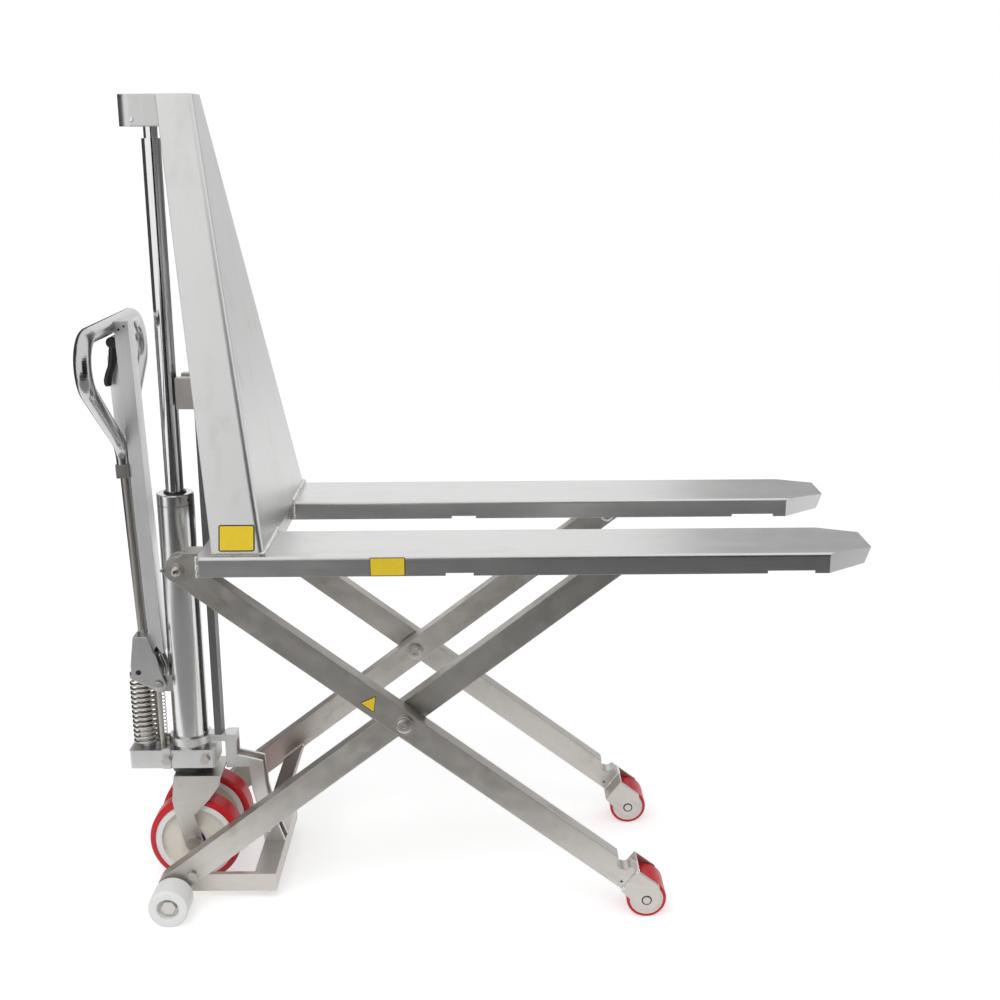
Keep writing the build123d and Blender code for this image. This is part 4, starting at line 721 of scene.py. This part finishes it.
class TRUCK_OT_fit_fasteners(Operator):
    """Fit pin caps, screw sockets, the rod wiper, and thin black discs of painted shade for drilled holes,
    the press roller's holes and the gaps round the axle ends
    """

    bl_idname = "truck.fit_fasteners"
    bl_label = "Fit the fasteners"

    CAP = ((0, 0.0012), (0.0030, 0.0013), (0.0042, 0.0028), (0.0122, 0.0028), (0.0140, 0.0016),
           (0.0143, 0.0002), (0.0158, 0.0002), (0.0163, 0.0014), (0.0176, 0.0012), (0.0180, 0))
    NUT = ((0, 0.0004), (0.0040, 0.0004), (0.0044, 0.0030), (0.0095, 0.0030), (0.0110, 0.0016),
           (0.0112, 0.0002), (0.0150, 0.0002), (0.0158, 0))
    NUT_FACE = 0.144
    AXLE_END = ((0, 0.0016), (0.0068, 0.0016), (0.0076, 0.0008), (0.0078, 0))
    # Thin black ring of painted shade for the gap round each axle end.
    AXLE_GAP_SHADE = ((0.0078, 0.0003), (0.0094, 0.0003), (0.0098, 0))
    PIVOT_BOLT = ((0, 0.0024), (0.0050, 0.0024), (0.0082, 0.0016), (0.0090, 0))
    # Thin black disc, painted shade for the hole at each end of the press roller.
    PRESS_HOLE_SHADE = ((0, 0.0003), (0.0052, 0.0003), (0.0054, 0))
    BUTTON = ((0.0038, 0.0032), (0.0062, 0.0026), (0.0082, 0.0010), (0.0090, 0), (0.0090, -0.0004))
    RECESS = ((0, 0), (0.0034, 0.0002), (0.0038, 0.0032))
    WIPER = ((0.0174, 0), (0.0174, 0.0032), (0.0200, 0.0032), (0.0214, 0.0016), (0.0218, 0))
    SET_SCREW = ((0, 0.0003), (0.0018, 0.0003), (0.0022, 0.0012), (0.0035, 0.0012), (0.0040, 0.0002),
                 (0.0046, 0))
    SCREW_X, SCREW_UP = -0.025, 0.012
    # Thin black disc, painted shade for a drilled hole.
    DRILLED_SHADE = ((0, 0.0003), (0.0020, 0.0003), (0.0022, 0))
    HOLES = ((-0.040, -0.016), (-0.030, -0.010))
    STEPS, HOLE_STEPS = 32, 16

    def execute(self, context):
        for name, side in SIDES.items():
            out = ACROSS * side
            self.cap_on(f"pivot_cap_{name}", "centre_pins", CENTRE, out, self.CAP, "inner_frame")
            self.fit(f"pivot_nut_{name}", self.NUT, Vector((CENTRE.x, side * self.NUT_FACE, CENTRE.z)), -out,
                     "steel_level", "inner_frame")
            self.axle_ends(name)
            self.cap_on(f"button_screw_{name}", "rear_pins", REAR_PIN, out, self.BUTTON, "carriage",
                        self.RECESS)
            self.cap_on(f"pivot_bolt_{name}", "rocker_pin", JOINTS["handle_tilt"], out, self.PIVOT_BOLT,
                        "steering")
            press_low, press_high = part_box("press_roller")
            press = (press_low + press_high) / 2
            press.y = press_high.y if side > 0 else press_low.y
            # Painted shade: a black disc stands for the dark inside the press roller's hole.
            self.fit(f"press_hole_shade_{name}", self.PRESS_HOLE_SHADE, press, out, "plate_border", "handle")
        _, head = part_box("cylinder_head")
        self.fit("rod_wiper", self.WIPER, Vector((0, 0, head.z)), UP, "black_plastic", "steering")
        low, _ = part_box("top_bracket")
        screw = Vector((self.SCREW_X, low.y, low.z + self.SCREW_UP))
        self.fit("set_screw", self.SET_SCREW, screw, -ACROSS, "polished", "carriage")
        self.shade_bar_holes()
        return {"FINISHED"}

    def cap_on(self, name, node, middle, out, profile, body, recess=None):
        """A round fitting on the outer face of a node, with a socket where a recess is given."""
        low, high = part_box(node)
        face = high.y if out.y > 0 else low.y
        place = Vector((middle.x, face, middle.z))
        self.fit(name, profile, place, out, "steel_level", body)
        if recess:
            self.fit(f"{name}_socket", recess, place, out, "spring_wire", body)

    def axle_ends(self, name):
        """Both ends of a load axle, each with a thin black ring of painted shade for its gap."""
        low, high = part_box(f"roller_bracket_{name}")
        axle = JOINTS[f"load_wheel_{name}"]
        for where, y, out in (("low", low.y, -ACROSS), ("high", high.y, ACROSS)):
            place = Vector((axle.x, y, axle.z))
            self.fit(f"axle_end_{name}_{where}", self.AXLE_END, place, out, "steel_level", "outer_frame")
            # Painted shade: a black ring stands for the dark of the gap round the axle end.
            self.fit(f"axle_gap_shade_{name}_{where}", self.AXLE_GAP_SHADE, place, out, "plate_border", "outer_frame")

    def fit(self, name, profile, place, out, finish, body):
        """A round fitting whose profile stands out from a place."""
        round_piece(name, profile, [(place, out)], self.STEPS, finish, body)

    def shade_bar_holes(self):
        """Two thin black discs at the top of the handle's bar, painted shade for two drilled holes."""
        low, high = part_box("handle_bar")
        places = [(Vector((high.x + x, low.y, high.z + z)), -ACROSS) for x, z in self.HOLES]
        round_piece("bar_hole_shades", self.DRILLED_SHADE, places, self.HOLE_STEPS, "plate_border", "handle")


class TRUCK_OT_turn_rollers(Operator):
    """Turn the white floor rollers, with a bolt head sunk in each"""

    bl_idname = "truck.turn_rollers"
    bl_label = "Turn the floor rollers"

    BORE, SINK, SINK_DEPTH, SINK_EDGE = 0.0104, 0.0205, 0.015, 0.0015
    ROUND, ROUND_STEPS, TREAD_STEPS = 0.0045, 6, 72
    HEAD, HEAD_SIDES = ((0, 0.0085), (0.0142, 0.0085), (0.0156, 0.0071), (0.0156, 0)), 6

    def execute(self, context):
        for name, side in SIDES.items():
            node, body = f"floor_roller_{name}", f"floor_wheel_{name}"
            low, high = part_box(node)
            axle, out = JOINTS[body], ACROSS * side
            radius, half = (high.z - low.z) / 2, (high.y - low.y) / 2
            middle = Vector((axle.x, (low.y + high.y) / 2, axle.z))
            piece = round_piece(f"{node}_turned", self.profile(radius, half), [(middle, out)],
                                self.TREAD_STEPS, "nylon_white", body)
            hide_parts(node)
            floor = middle + out * (half - self.SINK_DEPTH)
            round_piece(f"roller_bolt_{name}", self.HEAD, [(floor, out)], self.HEAD_SIDES, "steel_level",
                        "chassis")
        return {"FINISHED"}

    def profile(self, radius, half):
        """Section of a roller from its bore out to the tread and back."""
        floor = half - self.SINK_DEPTH
        bends = [math.pi / 2 * step / self.ROUND_STEPS for step in range(self.ROUND_STEPS + 1)]
        front = [(radius - self.ROUND * (1 - math.sin(bend)), half - self.ROUND * (1 - math.cos(bend)))
                 for bend in bends]
        back = [(across, -height) for across, height in reversed(front)]
        return [(self.BORE, floor), (self.SINK, floor), (self.SINK, half - self.SINK_EDGE),
                (self.SINK + self.SINK_EDGE, half), *front, *back, (self.BORE, -half), (self.BORE, floor)]


class TRUCK_OT_fit_seals(Operator):
    """Fit the bearing seals and dark axle covers on both faces of the steering wheels"""

    bl_idname = "truck.fit_seals"
    bl_label = "Fit the wheel seals"

    AXLE, COVER = 0.0102, 0.0145
    BOSS_HALF = 0.023
    STEPS = 40

    def execute(self, context):
        radius = context.scene.truck_sizes.seal_radius
        seal = ((self.COVER, 0.0004), (self.COVER + 0.001, 0.0010), (radius - 0.001, 0.0010),
                (radius, 0.0003), (radius, -0.0002))
        cover = ((self.AXLE, 0.0004), (self.AXLE + 0.0006, 0.0016), (self.COVER - 0.0006, 0.0016),
                 (self.COVER, 0.0004))
        for name in SIDES:
            body = f"steer_wheel_{name}"
            places = [(JOINTS[body] + face * self.BOSS_HALF, face) for face in (-ACROSS, ACROSS)]
            round_piece(f"bearing_seal_{name}", seal, places, self.STEPS, "seal_blue", body)
            round_piece(f"bearing_cover_{name}", cover, places, self.STEPS, "black_plastic", body)
        return {"FINISHED"}


def bare_plate(name, corners, out, thickness, border, body, rounding):
    """A thin plate with a narrow dark border, its corners rounded."""
    bm = bmesh.new()
    bm.faces.new([bm.verts.new(corner) for corner in corners])
    bmesh.ops.bevel(bm, geom=list(bm.verts), offset=rounding, affect="VERTICES", segments=CORNER_STEPS,
                    profile=0.5, material=-1)
    plate = list(bm.faces)
    rim = bmesh.ops.inset_individual(bm, faces=plate, thickness=border, use_even_offset=True)["faces"]
    for strip in rim:
        strip.material_index = 1
    grown = bmesh.ops.extrude_face_region(bm, geom=list(bm.faces))["geom"]
    raised = [item for item in grown if isinstance(item, bmesh.types.BMVert)]
    bmesh.ops.translate(bm, vec=out * thickness, verts=raised)
    return add_piece(name, bm, ["plate_yellow", "plate_border"], body)


class TRUCK_OT_fix_plates(Operator):
    """Fix the bare yellow plates on flange, fork and arm"""

    bl_idname = "truck.fix_plates"
    bl_label = "Fix the plates"

    BORDER, FORK_BORDER, ARM_BORDER = 0.0022, 0.00132, 0.0011
    ROUNDING, SMALL_ROUNDING = 0.004, 0.002
    FOOT_HALF, TOP_HALF = 0.262, 0.0385
    FLANGE_BACK, FLANGE_UP = (0.0785, 0.0160), (0.0075, 0.0520)
    FORK_ALONG, FORK_HALF, FORK_UP, FORK_DOWN = 0.3295, 0.0305, 0.0005, 0.0058
    ARM_BACK, ARM_HALF, ARM_BASE = 0.074, 0.0158, 0.8

    def execute(self, context):
        thickness = context.scene.truck_sizes.plate_thickness
        self.flange_plate(thickness)
        self.fork_plate(thickness)
        self.arm_plate(thickness)
        return {"FINISHED"}

    def flange_plate(self, thickness):
        """The plate at the foot of the backrest's leaning flange."""
        low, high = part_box("backrest")
        lean = (self.FOOT_HALF - self.TOP_HALF) / (high.z - low.z)
        near, far = (high.x - back for back in self.FLANGE_BACK)
        bottom, top = self.FLANGE_UP
        corners = [Vector((x, low.y + lean * up, low.z + up))
                   for x, up in ((near, bottom), (far, bottom), (far, top), (near, top))]
        out = Vector((0, -1, lean)).normalized()
        bare_plate("plate_flange", corners, out, thickness, self.BORDER, "carriage", self.ROUNDING)

    def fork_plate(self, thickness):
        """The plate on the side of the right fork."""
        low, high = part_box("fork_right")
        near, far = (low.x + self.FORK_ALONG + end * self.FORK_HALF for end in (-1, 1))
        bottom, top = low.z + self.FORK_UP, high.z - self.FORK_DOWN
        corners = [Vector((x, low.y, z)) for x, z in ((near, bottom), (far, bottom), (far, top), (near, top))]
        bare_plate("plate_fork", corners, -ACROSS, thickness, self.FORK_BORDER, "carriage",
                   self.SMALL_ROUNDING)

    def arm_plate(self, thickness):
        """The three-cornered plate on the right outer arm."""
        low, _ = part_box("outer_arm_right")
        middle = CENTRE - DOWN_ARM * self.ARM_BACK
        along = DOWN_ARM * self.ARM_HALF
        upward = Vector((-DOWN_ARM.z, 0, DOWN_ARM.x)) * self.ARM_HALF
        base = upward * self.ARM_BASE
        corners = [Vector((middle.x, low.y, middle.z)) + offset
                   for offset in (-along - base, along - base, upward)]
        bare_plate("plate_arm", corners, -ACROSS, thickness, self.ARM_BORDER, "outer_frame",
                   self.SMALL_ROUNDING)


class TRUCK_OT_fit_linkage(Operator):
    """Fit the release linkage at the handle's foot and the clip of the thin spring"""

    bl_idname = "truck.fit_linkage"
    bl_label = "Fit the release linkage"

    CLEVIS, CLEVIS_EDGE = (0.014, 0.020, 0.024), 0.0025
    CLEVIS_BACK, CLEVIS_HEIGHT = 0.004, 0.472
    LINK = ((0.0, 0.462), (-0.003, 0.452), (0.001, 0.440), (0.006, 0.428), (0.006, 0.418))
    LINK_WIRE, LINK_SIDES, LINK_APART = 0.0018, 10, 0.007
    PIN = ((0, -0.012), (0.004, -0.012), (0.004, 0.012), (0, 0.012))
    PIN_HEIGHT, PIN_STEPS = 0.462, 16
    CLIP, CLIP_EDGE = (0.018, 0.003, 0.016), 0.001
    CLIP_AHEAD, CLIP_APART, CLIP_UP = 0.004, 0.004, 0.0077

    def execute(self, context):
        pivot = JOINTS["handle_tilt"]
        clevis = Matrix.Translation((pivot.x - self.CLEVIS_BACK, 0, self.CLEVIS_HEIGHT))
        block_piece("release_clevis", self.CLEVIS, [clevis], self.CLEVIS_EDGE, "black_plastic", "handle")
        bm = bmesh.new()
        sections = [(self.LINK_WIRE, self.LINK_WIRE)] * len(self.LINK)
        for y in (-self.LINK_APART, self.LINK_APART):
            route = [Vector((pivot.x + x, y, z)) for x, z in self.LINK]
            sweep_section(bm, self.LINK_SIDES, path_stations(route, sections))
        turn_profile(bm, self.PIN, facing(Vector((pivot.x, 0, self.PIN_HEIGHT)), ACROSS), self.PIN_STEPS)
        add_piece("release_link", bm, ["polished"], "handle")
        low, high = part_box("return_spring")
        cheeks = [Matrix.Translation((low.x + self.CLIP_AHEAD, y, low.z + self.CLIP_UP))
                  for y in (high.y + self.CLIP_APART, low.y - self.CLIP_APART)]
        block_piece("spring_clip", self.CLIP, cheeks, self.CLIP_EDGE, "steel_upright", "steering")
        return {"FINISHED"}


class TRUCK_OT_set_stage(Operator):
    """Set the floor, the lights, the dark reflectors and the camera"""

    bl_idname = "truck.set_stage"
    bl_label = "Set the stage"

    FLOOR_HALF, FLOOR_TONE, FLOOR_DRIFT, FLOOR_GLOW = 14.0, 0.78, 0.02, 0.51
    SKY_LEVEL = 0.62
    KEY_PLACE, KEY_TARGET = Vector((-0.4, -2.2, 3.4)), Vector((0.5, 0, 0.5))
    KEY_SIZE, KEY_POWER = 2.4, 48
    LYING_FLAGS = {
        "flag_near": (-1.6, 2.8, -0.55, -2.0, 0.32),
        "flag_far": (-2.2, 3.2, -2.0, -12.0, 0.06),
    }
    STANDING_FLAGS = {
        "flag_right": ((0.25, -2.7), (2.7, -0.8), 0.35, 2.4, 0.02),
        "flag_left": ((-2.3, -0.9), (-0.8, 2.6), 0, 2.6, 0.06),
        "flag_back": ((1.6, 4.5), (6.0, 4.5), 0.6, 4.0, 0.40),
    }
    FLAG_LIFT = 0.004
    LENS, SENSOR = 49.4, 36
    PITCH, YAW, ROLL = math.radians(14.71), math.radians(0.241), math.radians(-0.345)
    EYE = Vector((0.608, -2.534, 1.426))

    def execute(self, context):
        context.scene.view_settings.view_transform = "Standard"
        self.floor()
        self.sky(context)
        self.key_light()
        for name, (*edges, level) in self.LYING_FLAGS.items():
            self.flag(name, self.on_floor(*edges), level)
        for name, (*edges, level) in self.STANDING_FLAGS.items():
            self.flag(name, self.upright(*edges), level)
        self.camera(context)
        return {"FINISHED"}

    def on_floor(self, left, right, near, far):
        """Corners of a panel that lies just over the floor."""
        return [(x, y, self.FLAG_LIFT) for x, y in ((left, near), (right, near), (right, far), (left, far))]

    @staticmethod
    def upright(start, end, low, high):
        """Corners of a panel that stands on its edge."""
        return ((*start, low), (*end, low), (*end, high), (*start, high))

    def floor(self):
        """A pale floor that glows only to the rays that show it."""
        paper = Shader("studio_floor")
        tones = [(tone, tone, tone, 1) for tone in (self.FLOOR_TONE, self.FLOOR_TONE + self.FLOOR_DRIFT)]
        tone = paper.blend(paper.noise((3, 3, 3), 2.0), *tones)
        lit = paper.node("ShaderNodeBsdfDiffuse", inputs={"Color": tone})
        glow = self.white(paper, "ShaderNodeEmission", self.seen_rays(paper) * self.FLOOR_GLOW)
        paper.show(paper.node("ShaderNodeAddShader", inputs={0: lit, 1: glow}))
        bm = bmesh.new()
        bmesh.ops.create_grid(bm, x_segments=1, y_segments=1, size=self.FLOOR_HALF)
        floor = mesh_object("studio_floor", bm, [paper.owner])

    @staticmethod
    def white(shader, kind, level):
        """White light of one level, from a surface or from the sky."""
        return shader.node(kind, inputs={"Color": (1, 1, 1, 1), "Strength": level})

    @staticmethod
    def seen_rays(shader):
        """One for the rays that show a thing to the eye, straight or by reflection, and nought for light."""
        path = [shader.node("ShaderNodeLightPath", output=ray)
                for ray in ("Is Camera Ray", "Is Glossy Ray", "Is Transmission Ray")]
        return (path[0] + path[1] + path[2]).between(0.0, 1.0)

    def sky(self, context):
        """A white sky that lights the truck at a lower level."""
        world = bpy.data.worlds.new("studio")
        context.scene.world = world
        air = Shader(world)
        level = self.SKY_LEVEL + self.seen_rays(air) * (1 - self.SKY_LEVEL)
        air.show(self.white(air, "ShaderNodeBackground", level))

    def key_light(self):
        """A soft light from above the near side, which polished steel doesn't mirror."""
        lamp = bpy.data.lights.new("key_light", "AREA")
        lamp.size = self.KEY_SIZE
        lamp.energy = self.KEY_POWER
        lit = bpy.data.objects.new("key_light", lamp)
        lit.location = self.KEY_PLACE
        lit.visible_glossy = False
        lit.rotation_euler = (self.KEY_TARGET - self.KEY_PLACE).to_track_quat("-Z", "Y").to_euler()
        bpy.context.scene.collection.objects.link(lit)

    def flag(self, name, corners, level):
        """A grey panel that only reflections see."""
        cloth = Shader(name)
        cloth.show(self.white(cloth, "ShaderNodeEmission", level))
        bm = bmesh.new()
        bm.faces.new([bm.verts.new(corner) for corner in corners])
        panel = mesh_object(name, bm, [cloth.owner])
        panel.visible_camera = False
        panel.visible_diffuse = False
        panel.visible_shadow = False

    def camera(self, context):
        """The camera that was fitted to the photograph."""
        level = Vector((math.sin(self.YAW), math.cos(self.YAW), 0))
        ahead = level * math.cos(self.PITCH) - UP * math.sin(self.PITCH)
        right = Vector((math.cos(self.YAW), -math.sin(self.YAW), 0))
        upward = right.cross(ahead)
        across = right * math.cos(self.ROLL) + upward * math.sin(self.ROLL)
        above = upward * math.cos(self.ROLL) - right * math.sin(self.ROLL)
        lens = bpy.data.cameras.new("camera")
        lens.lens = self.LENS
        lens.sensor_width = self.SENSOR
        eye = bpy.data.objects.new("camera", lens)
        turn = Matrix((across, above, -ahead)).transposed().to_4x4()
        eye.matrix_world = Matrix.Translation(self.EYE) @ turn
        bpy.context.scene.collection.objects.link(eye)
        context.scene.camera = eye


OPERATORS = (
    TRUCK_OT_finish_nodes,
    TRUCK_OT_wind_springs,
    TRUCK_OT_shape_lever,
    TRUCK_OT_fold_backrest,
    TRUCK_OT_bend_loop,
    TRUCK_OT_lay_welds,
    TRUCK_OT_fit_fasteners,
    TRUCK_OT_turn_rollers,
    TRUCK_OT_fit_seals,
    TRUCK_OT_fix_plates,
    TRUCK_OT_fit_linkage,
    TRUCK_OT_set_stage,
)


class TRUCK_PT_sidebar(Panel):
    """Steps that dress the truck, in order"""

    bl_label = "Pallet truck"
    bl_idname = "TRUCK_PT_sidebar"
    bl_space_type = "VIEW_3D"
    bl_region_type = "UI"
    bl_category = "Truck"

    def draw(self, context):
        for operator in OPERATORS:
            self.layout.operator(operator.bl_idname)


CLASSES = (TruckColours, TruckSizes, *OPERATORS, TRUCK_PT_sidebar)


def register():
    for each in CLASSES:
        bpy.utils.register_class(each)
    bpy.types.Scene.truck_colours = PointerProperty(type=TruckColours)
    bpy.types.Scene.truck_sizes = PointerProperty(type=TruckSizes)


def unregister():
    del bpy.types.Scene.truck_sizes
    del bpy.types.Scene.truck_colours
    for each in reversed(CLASSES):
        bpy.utils.unregister_class(each)


def main():
    register()
    bpy.ops.truck.finish_nodes()
    bpy.ops.truck.wind_springs()
    bpy.ops.truck.shape_lever()
    bpy.ops.truck.fold_backrest()
    bpy.ops.truck.bend_loop()
    bpy.ops.truck.lay_welds()
    bpy.ops.truck.fit_fasteners()
    bpy.ops.truck.turn_rollers()
    bpy.ops.truck.fit_seals()
    bpy.ops.truck.fix_plates()
    bpy.ops.truck.fit_linkage()
    bpy.ops.truck.set_stage()


if __name__ == "__main__":
    main()
